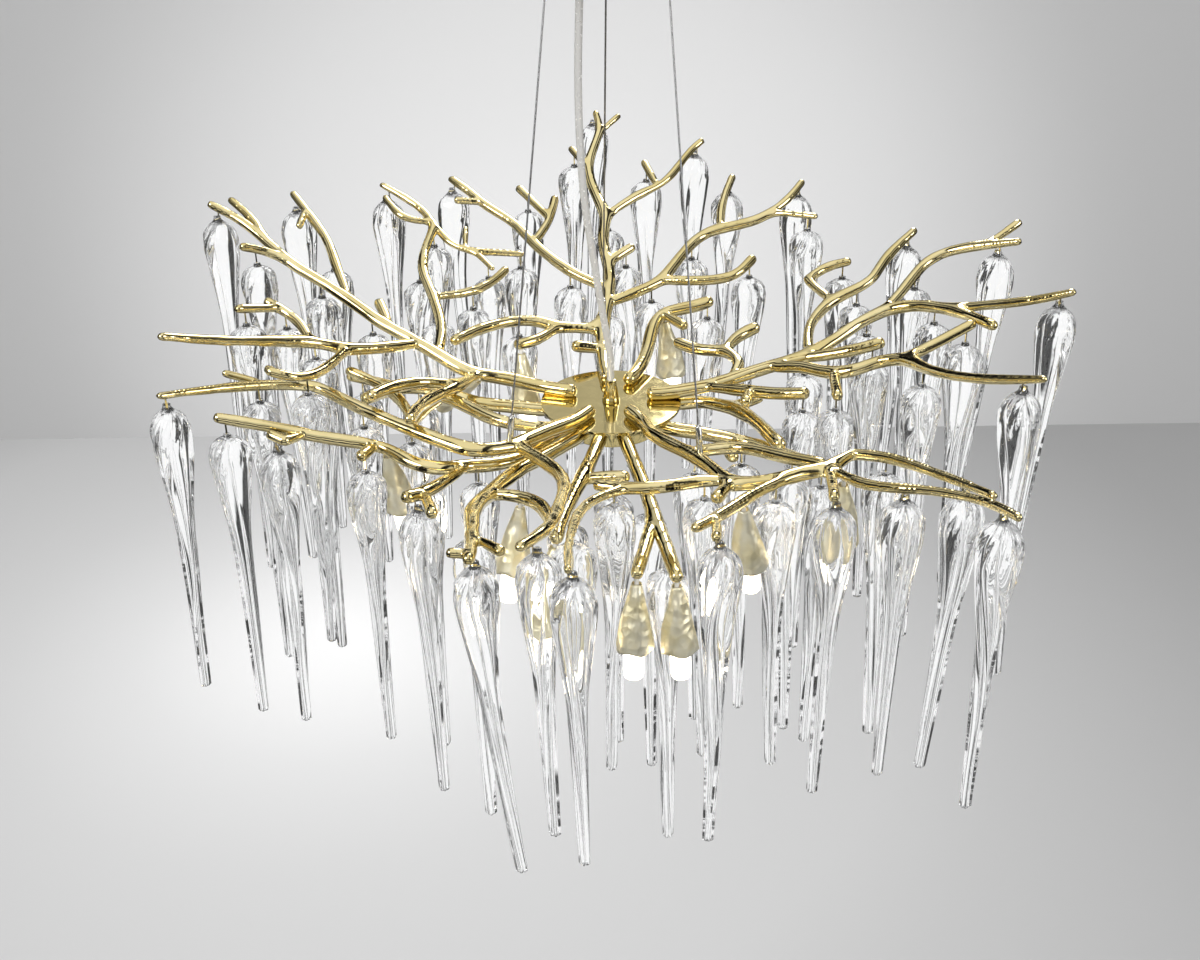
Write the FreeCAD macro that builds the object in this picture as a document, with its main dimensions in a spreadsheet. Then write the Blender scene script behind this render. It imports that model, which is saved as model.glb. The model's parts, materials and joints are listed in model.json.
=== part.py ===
import FreeCAD, Part
import math
import os

import Sketcher
from FreeCAD import Placement, Rotation, Vector

# Branch chandelier. Two tiers of cast branches fan out from a round hub plate that hangs from a
# ceiling cup on three steel wires. Glass drops hang from hooks under the twigs, and small lamps in
# hammered cone shades sit among them. The origin is the centre of the ceiling face, +Z is up, and
# the photograph is taken from the -Y side. Sizes are in millimetres.

doc = FreeCAD.newDocument("branch_chandelier")

# ---------------------------------------------------------------- driving sizes
SIZES = [
    ("suspension", 400.0, "ceiling face to the top of the hub plate"),
    ("cup_radius", 65.0, "ceiling cup, outside"),
    ("cup_height", 30.0, "ceiling cup, ceiling face to its floor"),
    ("cup_wall", 1.5, "ceiling cup, sheet thickness"),
    ("bracket_length", 120.0, "ceiling bracket, between its lugs, outside"),
    ("bracket_width", 20.0, "ceiling bracket, width of the strip"),
    ("bracket_sheet", 2.0, "ceiling bracket, thickness of the strip"),
    ("lug_height", 18.0, "ceiling bracket, height of its lugs"),
    ("slot_spacing", 70.0, "ceiling bracket, between the slot centres"),
    ("slot_length", 16.0, "ceiling bracket, overall length of a slot"),
    ("slot_width", 5.2, "ceiling bracket, width of a slot"),
    ("cup_screw_radius", 2.0, "cup screw, shank"),
    ("cup_screw_head", 4.0, "cup screw, head radius"),
    ("cup_screw_drop", 12.0, "cup screw, below the ceiling face"),
    ("screw_clearance", 0.15, "radial play of a screw in its hole"),
    ("block_length", 32.0, "terminal block"),
    ("block_width", 16.0, "terminal block"),
    ("block_height", 13.0, "terminal block"),
    ("cord_radius", 3.0, "clear power cord"),
    ("cord_offset", 20.0, "cord grip, beside the centre of the cup"),
    ("grip_radius", 7.0, "cord grip, barrel"),
    ("grip_neck", 5.0, "cord grip, neck through the cup"),
    ("grip_height", 14.0, "cord grip, below the cup"),
    ("wire_radius", 0.75, "steel suspension wire"),
    ("wire_circle", 52.0, "circle of the three wires in the cup"),
    ("wire_play", 0.3, "wire end to the gripper above it"),
    ("gripper_radius", 5.0, "wire gripper, barrel"),
    ("gripper_height", 15.0, "wire gripper, below the cup"),
    ("gripper_neck", 3.0, "wire gripper, neck through the cup"),
    ("coupling_radius", 2.6, "wire coupling on a branch"),
    ("coupling_length", 20.0, "wire coupling, above the branch"),
    ("plate_radius", 60.0, "hub plate"),
    ("plate_sheet", 3.0, "hub plate, thickness"),
    ("drum_radius", 43.0, "hub drum, outside"),
    ("drum_wall", 1.5, "hub drum, sheet thickness"),
    ("drum_height", 20.0, "hub drum"),
    ("nipple_radius", 5.0, "threaded tube through the hub"),
    ("nipple_bore", 3.5, "bore of the threaded tube"),
    ("nut_radius", 9.0, "round nut under the hub"),
    ("nut_height", 6.0, "round nut under the hub"),
    ("gland_radius", 7.5, "cord gland, foot"),
    ("gland_tip", 4.2, "cord gland, top"),
    ("gland_height", 20.0, "cord gland"),
    ("foot_radius", 5.8, "branch at its foot on the hub"),
    ("foot_start", 32.0, "inner end of an upper foot from the centre"),
    ("rim_reach", 4.0, "where a foot leaves the hub plate, beyond its rim"),
    ("drum_gap", 1.0, "inner end of a lower foot from the drum"),
    ("twig_radius", 3.2, "branch at its thinnest"),
    ("taper_reach", 430.0, "distance along a branch over which it thins out"),
    ("taper_bend", 2.0, "power by which a branch keeps its thickness at first"),
    ("bough_screw_radius", 2.0, "branch screw, shank across its corners / 2"),
    ("bough_screw_head", 3.4, "branch screw, head across its corners / 2"),
    ("bough_screw_head_height", 2.6, "branch screw, head"),
    ("bough_screw_bite", 5.0, "branch screw, depth in a foot"),
    ("hook_wire", 0.8, "hook wire, circle through its corners"),
    ("hook_depth", 6.0, "hook, below the underside of the twig"),
    ("hook_play", 0.5, "hook stem to the eye of its drop"),
    ("eye_sheet", 3.0, "eye of a drop, thickness"),
    ("eye_width", 7.0, "eye of a drop, width"),
    ("eye_top", 3.0, "eye of a drop, hole centre to its top"),
    ("eye_play", 0.15, "hook wire to the sides of the hole in an eye"),
    ("drop_radius", 16.5, "glass drop, widest"),
    ("drop_shoulder", 14.0, "glass drop, hole centre to the shoulder"),
    ("drop_belly", 34.0, "glass drop, hole centre to the widest place"),
    ("drop_waist", 96.0, "glass drop, hole centre to where the tail starts"),
    ("tail_radius", 4.4, "glass drop, end of the tail"),
    ("lamp_mouth", 14.0, "cone shade, mouth radius"),
    ("lamp_top", 3.6, "cone shade, top radius"),
    ("lamp_length", 52.0, "cone shade, length"),
    ("lamp_wall", 0.8, "cone shade, sheet thickness"),
    ("socket_radius", 6.4, "lamp socket"),
    ("socket_start", 30.0, "lamp socket, below the top of its shade"),
    ("socket_length", 20.0, "lamp socket"),
    ("neck_radius", 1.8, "lamp neck that carries socket and shade"),
    ("neck_length", 3.0, "lamp neck, above its shade"),
    ("capsule_radius", 7.5, "lamp capsule"),
    ("capsule_length", 28.0, "lamp capsule"),
]

sheet = doc.addObject("Spreadsheet::Sheet", "sizes")
for row, (alias, value, note) in enumerate(SIZES, start=1):
    sheet.set("A%d" % row, note)
    sheet.set("B%d" % row, str(value))
    sheet.setAlias("B%d" % row, alias)
doc.recompute()


def size(alias):
    return float(sheet.get(alias))


NODES = []


def keep(label, piece):
    """Files an object of the document as a sub-part under its own name."""
    piece.Label = label
    NODES.append(piece)
    return piece


WIRE_BEARINGS = {"back": 90.0, "left": 210.0, "right": 330.0}
GRIP_SIDES = 12
GRIPPER_SIDES = 8
WIRE_SIDES = 8
DRUM_SIDES = 36


# ---------------------------------------------------------------- turned and flat pieces
def turned(name, corners, lift="0"):
    """A body turned about the vertical axis. Corners are (radius, height) formulas, heights run up
    from the foot of the piece, and lift is the height of that foot."""
    body = doc.addObject("PartDesign::Body", name)
    sketch = body.newObject("Sketcher::SketchObject", name + "_profile")
    plane = [item for item in body.Origin.OriginFeatures if item.Role == "XZ_Plane"][0]
    sketch.AttachmentSupport = [(plane, "")]
    sketch.MapMode = "FlatFace"
    points = []
    for radius, height in corners:
        x = float(sheet.evalExpression(radius))
        y = float(sheet.evalExpression(height))
        points.append(Vector(x, y, 0))
    count = len(points)
    for index in range(count):
        sketch.addGeometry(Part.LineSegment(points[index], points[(index + 1) % count]))
    for index in range(count):
        sketch.addConstraint(Sketcher.Constraint("Coincident", index, 2, (index + 1) % count, 1))
    for index, (radius, height) in enumerate(corners):
        if radius == "0":
            sketch.addConstraint(Sketcher.Constraint("PointOnObject", index, 1, -2))
        else:
            rule = Sketcher.Constraint("DistanceX", -1, 1, index, 1, points[index].x)
            number = sketch.addConstraint(rule)
            sketch.setExpression("Constraints[%d]" % number, radius)
        if height == "0":
            sketch.addConstraint(Sketcher.Constraint("PointOnObject", index, 1, -1))
        else:
            rule = Sketcher.Constraint("DistanceY", -1, 1, index, 1, points[index].y)
            number = sketch.addConstraint(rule)
            sketch.setExpression("Constraints[%d]" % number, height)
    feature = body.newObject("PartDesign::Revolution", name + "_turn")
    feature.Profile = sketch
    feature.ReferenceAxis = (sketch, ["V_Axis"])
    feature.Angle = 360
    body.setExpression("Placement.Base.z", lift)
    return body


def box(name, length, width, height, x, y, z):
    """A block whose sizes and lowest corner are formulas."""
    piece = doc.addObject("Part::Box", name)
    piece.setExpression("Length", length)
    piece.setExpression("Width", width)
    piece.setExpression("Height", height)
    piece.setExpression("Placement.Base.x", x)
    piece.setExpression("Placement.Base.y", y)
    piece.setExpression("Placement.Base.z", z)
    return piece


def rod(name, radius, height, x, y, z, axis=None):
    """A cylinder whose sizes and foot are formulas, upright unless an axis is given."""
    piece = doc.addObject("Part::Cylinder", name)
    if axis is not None:
        piece.Placement = Placement(Vector(), Rotation(Vector(0, 0, 1), axis))
    piece.setExpression("Radius", radius)
    piece.setExpression("Height", height)
    piece.setExpression("Placement.Base.x", x)
    piece.setExpression("Placement.Base.y", y)
    piece.setExpression("Placement.Base.z", z)
    return piece


def prism(name, radius, height, x, y, z, sides, axis=None):
    """A rod with flat sides, given by the circle through its corners."""
    piece = doc.addObject("Part::Prism", name)
    piece.Polygon = sides
    if axis is not None:
        piece.Placement = Placement(Vector(), Rotation(Vector(0, 0, 1), axis))
    piece.setExpression("Circumradius", radius)
    piece.setExpression("Height", height)
    piece.setExpression("Placement.Base.x", x)
    piece.setExpression("Placement.Base.y", y)
    piece.setExpression("Placement.Base.z", z)
    return piece


def joined(name, pieces):
    whole = doc.addObject("Part::MultiFuse", name)
    whole.Shapes = pieces
    return whole


def drilled(name, blank, tools):
    """The blank with every tool taken out of it."""
    piece = doc.addObject("Part::Cut", name)
    piece.Base = blank
    piece.Tool = tools[0] if len(tools) == 1 else joined(name + "_tools", tools)
    return piece


def formed(name, shape, placement=None):
    """A piece whose shape is worked out by the functions below."""
    piece = doc.addObject("Part::Feature", name)
    piece.Shape = shape
    if placement is not None:
        piece.Placement = placement
    return piece


# Ceiling bracket: a strip with two slots for the ceiling screws, its ends turned down as lugs.
strip = box("bracket_strip", "sizes.bracket_length", "sizes.bracket_width", "sizes.bracket_sheet",
            "-sizes.bracket_length / 2", "-sizes.bracket_width / 2", "-sizes.bracket_sheet")
lug_left = box("lug_left", "sizes.bracket_sheet", "sizes.bracket_width", "sizes.lug_height",
               "-sizes.bracket_length / 2", "-sizes.bracket_width / 2", "-sizes.lug_height")
lug_right = box("lug_right", "sizes.bracket_sheet", "sizes.bracket_width", "sizes.lug_height",
                "sizes.bracket_length / 2 - sizes.bracket_sheet", "-sizes.bracket_width / 2",
                "-sizes.lug_height")
SLOT_RUN = "(sizes.slot_length - sizes.slot_width)"
bracket_tools = []
for side, sign in (("left", "-"), ("right", "")):
    centre = sign + "sizes.slot_spacing / 2"
    below = "-2 * sizes.bracket_sheet"
    depth = "3 * sizes.bracket_sheet"
    bracket_tools.append(box("slot_" + side, SLOT_RUN, "sizes.slot_width", depth,
                             centre + " - " + SLOT_RUN + " / 2", "-sizes.slot_width / 2", below))
    for end, offset in (("a", " - "), ("b", " + ")):
        bracket_tools.append(rod("slot_end_" + side + "_" + end, "sizes.slot_width / 2", depth,
                                 centre + offset + SLOT_RUN + " / 2", "0", below))
bracket_tools.append(prism("lug_holes", "sizes.cup_screw_radius + sizes.screw_clearance",
                           "sizes.bracket_length + 2 * sizes.bracket_sheet",
                           "-sizes.bracket_length / 2 - sizes.bracket_sheet", "0",
                           "-sizes.cup_screw_drop", 6, Vector(1, 0, 0)))
bracket_blank = joined("bracket_blank", [strip, lug_left, lug_right])
keep("ceiling_bracket", drilled("bracket", bracket_blank, bracket_tools))

keep("terminal_block", box("block", "sizes.block_length", "sizes.block_width", "sizes.block_height",
                           "-sizes.block_length / 2", "-sizes.block_width / 2",
                           "-sizes.bracket_sheet - sizes.block_height"))

# Ceiling cup: a spun cup, open at the ceiling, with holes for the cord, the wires and two screws.
CUP_SIDES = 48
cup_blank = prism("cup_blank", "sizes.cup_radius", "sizes.cup_height", "0", "0",
                  "-sizes.cup_height", CUP_SIDES)
cup_room = prism("cup_room", "sizes.cup_radius - sizes.cup_wall", "sizes.cup_height", "0", "0",
                 "sizes.cup_wall - sizes.cup_height", CUP_SIDES)
HOLE_DEPTH = "3 * sizes.cup_wall"
HOLE_FOOT = "-sizes.cup_height - sizes.cup_wall"
cup_tools = [cup_room, prism("cup_cord_hole", "sizes.grip_neck + sizes.screw_clearance", HOLE_DEPTH,
                             "-sizes.cord_offset", "0", HOLE_FOOT, GRIP_SIDES)]
for side, bearing in WIRE_BEARINGS.items():
    cup_tools.append(prism("cup_wire_hole_" + side, "sizes.gripper_neck + sizes.screw_clearance",
                           HOLE_DEPTH, "sizes.wire_circle * cos(%g deg)" % bearing,
                           "sizes.wire_circle * sin(%g deg)" % bearing, HOLE_FOOT, GRIPPER_SIDES))
cup_tools.append(prism("cup_screw_holes", "sizes.cup_screw_radius + sizes.screw_clearance",
                       "2 * sizes.cup_radius + 2 * sizes.cup_wall",
                       "-sizes.cup_radius - sizes.cup_wall", "0", "-sizes.cup_screw_drop", 6,
                       Vector(1, 0, 0)))
keep("canopy_cup", drilled("cup", cup_blank, cup_tools))

# Hub: a flat plate.
PLATE_FOOT = "-sizes.suspension - sizes.plate_sheet"
plate_blank = turned("plate_blank", [
    ("0", "0"),
    ("sizes.plate_radius", "0"),
    ("sizes.plate_radius", "sizes.plate_sheet"),
    ("0", "sizes.plate_sheet"),
], PLATE_FOOT)
doc.recompute()


# ---------------------------------------------------------------- faceted solids
def triangle(first, second, third):
    return Part.Face(Part.makePolygon([first, second, third, first]))


def band(low, high):
    """Triangles between two rings. The second has as many corners, half as many or twice."""
    faces = []
    if len(low) > len(high):
        low, high = high, low
    step = len(high) // len(low)
    count = len(low)
    for index in range(count):
        after = (index + 1) % count
        near = index * step
        far = (near + step) % len(high)
        faces.append(triangle(low[index], low[after], high[far]))
        for corner in range(near, near + step):
            faces.append(triangle(low[index], high[(corner + 1) % len(high)], high[corner]))
    return faces


def skin(rings):
    """A closed solid through flat rings, capped at both ends."""
    faces = []
    for low, high in zip(rings, rings[1:]):
        faces += band(low, high)
    for cap in (rings[0], rings[-1]):
        faces.append(Part.Face(Part.makePolygon(cap + [cap[0]])))
    return closed(faces)


def closed(faces):
    solid = Part.Solid(Part.Shell(faces))
    if solid.Volume < 0:
        solid.reverse()
    return solid


def ring(centre, across, up, radius, count, valley=1.0, first=0.5):
    """Corners around a centre, with a flat side up. Every other corner lies at valley of the
    radius, which gives the section its lobes. The first lies that share of a step round."""
    corners = []
    for index in range(count):
        turn = 2 * math.pi * (index + first) / count
        reach = radius * (valley if index % 2 else 1.0)
        corners.append(centre + across * (reach * math.sin(turn)) + up * (reach * math.cos(turn)))
    return corners


def lathe(profile, count):
    """A flat-sided turned solid through (radius, height) corners. One that starts and ends on the
    axis is capped there, and any other one is a tube whose last corner joins its first."""
    hollow = profile[0][0] > 0
    corners = profile if hollow else profile[1:-1]
    rings = []
    for radius, height in corners:
        rings.append(prism_ring(Vector(0, 0, height), radius, count))
    if not hollow:
        return skin(rings)
    faces = []
    for low, high in zip(rings, rings[1:] + rings[:1]):
        faces += band(low, high)
    return closed(faces)


def prism_ring(centre, radius, count):
    """Level corners with the first one to the right, as a prism has them."""
    corners = []
    for index in range(count):
        turn = 2 * math.pi * index / count
        corners.append(centre + Vector(radius * math.cos(turn), radius * math.sin(turn), 0))
    return corners


def frame_along(direction):
    """Two unit vectors across a direction: one level, one as near to upright as it can be."""
    level = direction.cross(Vector(0, 0, 1))
    if level.Length < 0.05:
        level = Vector(0, 1, 0)
    level.normalize()
    up = level.cross(direction)
    up.normalize()
    return level, up


def limb(points, radii, count, across=None):
    """A tapering solid along points, cut square at both ends and mitred at the bends. Its level
    direction may be given for one that runs upright."""
    rings = []
    for index, point in enumerate(points):
        before = points[max(index - 1, 0)]
        after = points[min(index + 1, len(points) - 1)]
        ahead = Vector(after - point)
        behind = Vector(point - before)
        direction = Vector(0, 0, 0)
        for part in (ahead, behind):
            if part.Length > 0:
                direction += part.normalize()
        direction.normalize()
        level, up = frame_along(direction)
        if across is not None:
            level = across
            up = across.cross(direction)
        rings.append(ring(point, level, up, radii[index], count))
    return skin(rings)


# ---------------------------------------------------------------- branches
# Points are millimetres from the centre of the hub plate's top: right, away from the photograph,
# up. A trunk starts on the hub at its bearing. A side branch starts at a place on another one:
# 2.5 is half way between that one's points 2 and 3.
UPPER = {
    "bough_left": {
        "trunk": (164, [(-87, 28, 9), (-123, 18, 18), (-150, 34, 30), (-179, 52, 40), (-204, 62, 49),
                        (-230, 84, 61), (-257, 98, 74), (-282, 107, 86), (-304, 127, 98),
                        (-333, 148, 115), (-360, 150, 129)]),
        "fork": ("trunk", 10, [(-322, 152, 113), (-345, 170, 126)]),
        "spur": ("trunk", 9, [(-302, 114, 96), (-325, 104, 105)]),
        "second": ("trunk", 7, [(-248, 130, 78), (-256, 160, 87), (-282, 195, 106), (-296, 212, 117)]),
        "second_spur": ("second", 3, [(-284, 167, 99)]),
        "rear": ("trunk", 4, [(-147, 76, 35), (-160, 122, 47), (-178, 168, 62), (-165, 222, 76),
                              (-178, 246, 88), (-220, 265, 106)]),
        "rear_twin": ("rear", 4.3, [(-197, 222, 85), (-215, 249, 99)]),
        "rear_right": ("rear", 4.6, [(-150, 204, 65), (-126, 200, 60), (-98, 206, 56), (-80, 206, 54)]),
        "rear_peg": ("rear_right", 1.6, [(-137, 232, 72)]),
        "rear_drop": ("rear_right", 2, [(-108, 178, 50)]),
        "rear_arm": ("rear", 2, [(-117, 143, 42), (-96, 185, 48)]),
        "level": ("trunk", 4.6, [(-192, 20, 43), (-222, -4, 53), (-250, -9, 64), (-284, -45, 80),
                                 (-312, -78, 96), (-345, -108, 114)]),
        "level_spur": ("level", 3, [(-264, 18, 72), (-292, 30, 84)]),
        "level_twig": ("level_spur", 1.6, [(-310, -3, 91)]),
        "level_down": ("level", 2, [(-232, -66, 61), (-247, -98, 71), (-269, -97, 79)]),
        "peg": ("trunk", 5.5, [(-206, 92, 56)]),
        "curl": ("trunk", 2.8, [(-127, -21, 26), (-141, -48, 32), (-155, -92, 43), (-157, -128, 49)]),
        "curl_arm": ("curl", 1, [(-163, -30, 36), (-182, -60, 44), (-192, -86, 50)]),
    },
    "bough_right": {
        "trunk": (3, [(98, 2, 15), (128, 10, 23), (161, 6, 33), (188, 18, 42), (212, 36, 52),
                      (238, 44, 62), (265, 34, 71), (290, -8, 82), (305, -62, 92)]),
        "tip": ("trunk", 8.6, [(317, -26, 95), (343, -45, 107), (366, -60, 120)]),
        "rise": ("trunk", 7, [(258, 66, 72), (279, 98, 84), (306, 99, 96), (354, 66, 114)]),
        "rise_spur": ("rise", 3.5, [(360, 96, 121)]),
        "rear": ("trunk", 4.3, [(173, 62, 42), (201, 90, 54), (235, 95, 66), (248, 125, 76),
                                (281, 152, 94)]),
        "rear_spur": ("rear", 1.9, [(180, 127, 56), (200, 141, 64), (221, 137, 70)]),
        "hook": ("trunk", 2.1, [(114, 22, 24), (101, 48, 24), (79, 54, 20), (59, 73, 21)]),
        "hook_spur": ("hook", 2, [(114, 70, 28), (132, 76, 33)]),
        "fore": ("trunk", 3.1, [(160, -8, 34), (177, -35, 40), (196, -49, 47), (220, -43, 55),
                                (238, -56, 62), (250, -115, 76), (276, -172, 98), (303, -216, 120)]),
        "fore_spur": ("fore", 5, [(274, -47, 77), (294, -41, 86)]),
        "fore_peg": ("fore", 2.3, [(178, -98, 49)]),
        "low": ("trunk", 1.5, [(112, -28, 22), (127, -47, 27), (159, -64, 36)]),
        "low_peg": ("low", 1.2, [(109, -62, 27)]),
        "twig": ("trunk", 4.1, [(200, -8, 46), (228, -10, 56)]),
    },
    "bough_back_right": {
        "trunk": (62, [(38, 106, 19), (48, 127, 26), (74, 124, 31), (95, 130, 36)]),
        "spur": ("trunk", 3, [(69, 94, 26)]),
    },
    "bough_back": {
        "trunk": (95, [(-7, 113, 17), (-2, 143, 27), (3, 171, 36), (0, 203, 46), (-6, 233, 57),
                       (1, 266, 71), (-17, 308, 89), (-18, 340, 104), (-4, 376, 122),
                       (-10, 400, 135)]),
        "tip": ("trunk", 10, [(15, 394, 133)]),
        "knob": ("trunk", 8.6, [(-36, 353, 112)]),
        "high": ("trunk", 7, [(26, 289, 81), (62, 305, 90), (84, 342, 110), (99, 352, 118)]),
        "high_spur": ("high", 1.7, [(38, 335, 102)]),
        "right": ("trunk", 3.1, [(29, 159, 34), (52, 172, 40), (72, 209, 53), (95, 235, 65),
                                 (142, 231, 73), (176, 252, 88), (192, 272, 101)]),
        "right_spur": ("right", 5.5, [(200, 217, 84)]),
        "right_rise": ("right", 4.3, [(112, 265, 80), (126, 302, 97)]),
        "right_low": ("right", 2, [(86, 162, 42), (118, 157, 47), (137, 182, 57)]),
        "left": ("trunk", 3.8, [(-27, 181, 40), (-50, 200, 48), (-72, 225, 58), (-90, 251, 70),
                                (-116, 264, 80), (-134, 281, 90), (-155, 296, 101)]),
        "left_spur": ("left", 3, [(-57, 251, 68), (-51, 288, 82)]),
        "left_twig": ("left", 5.4, [(-149, 267, 88)]),
        "left_cross": ("left_spur", 1.2, [(-88, 296, 90)]),
        "low_left": ("trunk", 2, [(-49, 106, 22), (-64, 112, 26), (-87, 108, 29), (-116, 87, 31),
                                  (-138, 56, 32)]),
        "low_left_spur": ("low_left", 1, [(-63, 82, 20), (-84, 71, 21)]),
        "peg": ("trunk", 5, [(25, 221, 55)]),
        "foot_twig": ("trunk", 1.4, [(-33, 78, 16)]),
    },
    "bough_front_left": {
        "trunk": (238, [(-52, -74, 11), (-76, -112, 17), (-103, -134, 23), (-135, -120, 26),
                        (-158, -106, 29), (-211, -74, 36), (-240, -46, 40), (-265, -55, 46),
                        (-304, -79, 57), (-349, -124, 71)]),
        "spur": ("trunk", 8.5, [(-284, -36, 52)]),
        "twig": ("trunk", 9.3, [(-313, -62, 61)]),
        "rise": ("trunk", 5.8, [(-172, -48, 28), (-194, -22, 30), (-222, -8, 36)]),
        "inner": ("trunk", 1.8, [(-85, -72, 16), (-108, -54, 16), (-130, -28, 16), (-152, -20, 19)]),
        "fore": ("trunk", 3, [(-50, -150, 22), (-34, -193, 30), (-40, -256, 45), (-42, -300, 56),
                              (-64, -346, 68)]),
    },
    "bough_front_right": {
        "trunk": (297, [(29, -78, 10), (48, -117, 17), (67, -147, 23), (84, -210, 35),
                        (110, -214, 39), (136, -206, 41), (158, -200, 42), (178, -178, 42),
                        (203, -196, 49), (219, -230, 58), (239, -272, 69), (250, -310, 80)]),
        "loop": ("trunk", 3.5, [(83, -134, 24), (102, -135, 26), (129, -168, 34), (155, -192, 41)]),
        "peg": ("trunk", 5, [(72, -240, 41)]),
        "down": ("trunk", 8, [(152, -266, 55)]),
        "outer": ("trunk", 8, [(176, -254, 56), (207, -267, 63), (243, -310, 79), (254, -358, 92)]),
        "across": ("trunk", 4.9, [(63, -197, 32), (37, -212, 34), (6, -210, 33), (-14, -200, 31)]),
        "arch": ("across", 3, [(-18, -236, 39), (-29, -280, 49), (-32, -344, 66), (-31, -390, 78)]),
        "fork": ("trunk", 6.8, [(108, -228, 42), (92, -250, 46), (70, -284, 52), (52, -307, 57)]),
        "fork_peg": ("fork", 3, [(65, -330, 63)]),
    },
}
LOWER = {
    "lower_left": {
        "trunk": (180, [(-88, 1, -5), (-112, -2, -1), (-134, 8, 2), (-158, 16, 7), (-185, 6, 13),
                        (-208, -26, 17)]),
        "arm": ("trunk", 4.3, [(-163, -36, 8), (-166, -73, 11)]),
        "twig": ("trunk", 6, [(-226, 14, 21)]),
    },
    "lower_front_left": {
        "trunk": (222, [(-59, -78, -5), (-83, -112, 0), (-113, -122, 5), (-138, -138, 10),
                        (-163, -128, 14), (-182, -108, 17), (-234, -113, 28), (-272, -111, 38),
                        (-310, -116, 48)]),
        "spur": ("trunk", 8.2, [(-253, -134, 36), (-267, -127, 39)]),
        "peg": ("trunk", 7.1, [(-196, -136, 22)]),
        "fore": ("trunk", 4.1, [(-137, -192, 22), (-154, -212, 29)]),
        "fore_peg": ("fore", 1.2, [(-130, -245, 34)]),
    },
    "lower_front": {
        "trunk": (241, [(-56, -98, -2), (-79, -130, 3), (-90, -174, 13), (-105, -226, 26),
                        (-98, -276, 38), (-97, -340, 55)]),
        "arm": ("trunk", 4.2, [(-63, -191, 16), (-49, -220, 21), (-44, -268, 33)]),
        "spur": ("trunk", 6.2, [(-76, -322, 50)]),
        "peg": ("trunk", 6.8, [(-112, -328, 54)]),
    },
    "lower_lamp_left": {
        "trunk": (260, [(-24, -128, -4), (-36, -180, 2), (-43, -242, 10)]),
        "arm": ("trunk", 2, [(-8, -130, -3), (12, -134, 0)]),
    },
    "lower_lamp_right": {
        "trunk": (281, [(22, -112, -8), (30, -180, -7), (38, -240, -3), (43, -280, 0)]),
        "arm": ("trunk", 3, [(22, -236, -2), (14, -276, 0)]),
    },
    "lower_right": {
        "trunk": (8, [(78, 7, -5), (106, -14, -1), (122, -58, 6), (133, -110, 13)]),
        "spur": ("trunk", 3, [(128, -4, 4)]),
    },
    "lower_front_right": {
        "trunk": (321, [(68, -44, -8), (116, -64, -9), (147, -98, -5), (170, -150, 9)]),
        "spur": ("trunk", 2.8, [(93, -86, -6), (98, -100, -3)]),
    },
}
LIMB_SIDES = 6
TWIG_SIDES = 4
HUB = Vector(0, 0, -size("suspension"))
FLAT = math.cos(math.pi / LIMB_SIDES)


def polar(radius, bearing, height):
    turn = math.radians(bearing)
    return Vector(radius * math.cos(turn), radius * math.sin(turn), height)


def radius_at(distance):
    """How thick a branch is at a distance along it from the hub."""
    share = min(distance / size("taper_reach"), 1.0)
    return size("foot_radius") + (size("twig_radius") - size("foot_radius")) * share ** size("taper_bend")


def foot_of(bearing, tier):
    """Where a trunk sits on the hub: level on top of the plate, or level under it."""
    clear = size("foot_radius") * FLAT
    if tier == "upper":
        inner = size("foot_start")
        height = clear
    else:
        inner = size("drum_radius") + size("drum_gap")
        height = -size("plate_sheet") - clear
    outer = size("plate_radius") + size("rim_reach")
    return polar(inner, bearing, height), polar(outer, bearing, height)


class Limb:
    """A branch: its points, and how far along from the hub each of them lies."""

    def __init__(self, points, start):
        self.points = points
        self.along = [start]
        for first, second in zip(points, points[1:]):
            self.along.append(self.along[-1] + (second - first).Length)

    def at(self, place):
        """Centre, distance and direction at a place such as 2.5."""
        index = min(int(place), len(self.points) - 2)
        share = place - index
        first = self.points[index]
        second = self.points[index + 1]
        centre = first + (second - first) * share
        distance = self.along[index] + (self.along[index + 1] - self.along[index]) * share
        return centre, distance, (second - first).normalize()


LIMBS = {}
BOUGHS = {}


def make_bough(name, branches, tier):
    """One cast branch: the trunk with all its side branches as one solid."""
    solids = []
    for branch, (origin, *rest) in branches.items():
        if branch == "trunk":
            inner, outer = foot_of(origin, tier)
            points = [inner, outer] + [Vector(*point) for point in rest[0]]
            line = Limb([HUB + point for point in points], 0.0)
            radii = [size("foot_radius")] * 2 + [radius_at(far) for far in line.along[2:]]
        else:
            start, distance, _ = LIMBS[name, origin].at(rest[0])
            points = [start] + [HUB + Vector(*point) for point in rest[1]]
            line = Limb(points, distance)
            radii = [radius_at(far) for far in line.along]
            radii[0] = 0.8 * radii[0]
        LIMBS[name, branch] = line
        sides = LIMB_SIDES if branch == "trunk" else TWIG_SIDES
        solids.append(limb(line.points, radii, sides))
    whole = solids[0] if len(solids) == 1 else solids[0].fuse(solids[1:])
    BOUGHS[name] = whole.Solids[0] if len(whole.Solids) == 1 else whole


for tier, boughs in (("upper", UPPER), ("lower", LOWER)):
    for name, branches in boughs.items():
        make_bough(name, branches, tier)


# ---------------------------------------------------------------- branch screws
def hexagon(radius, low, high, centre):
    """An upright six-sided bar between two heights."""
    corners = []
    for height in (low, high):
        middle = Vector(centre.x, centre.y, height)
        corners.append(ring(middle, Vector(1, 0, 0), Vector(0, 1, 0), radius, 6))
    return skin(corners)


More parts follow.
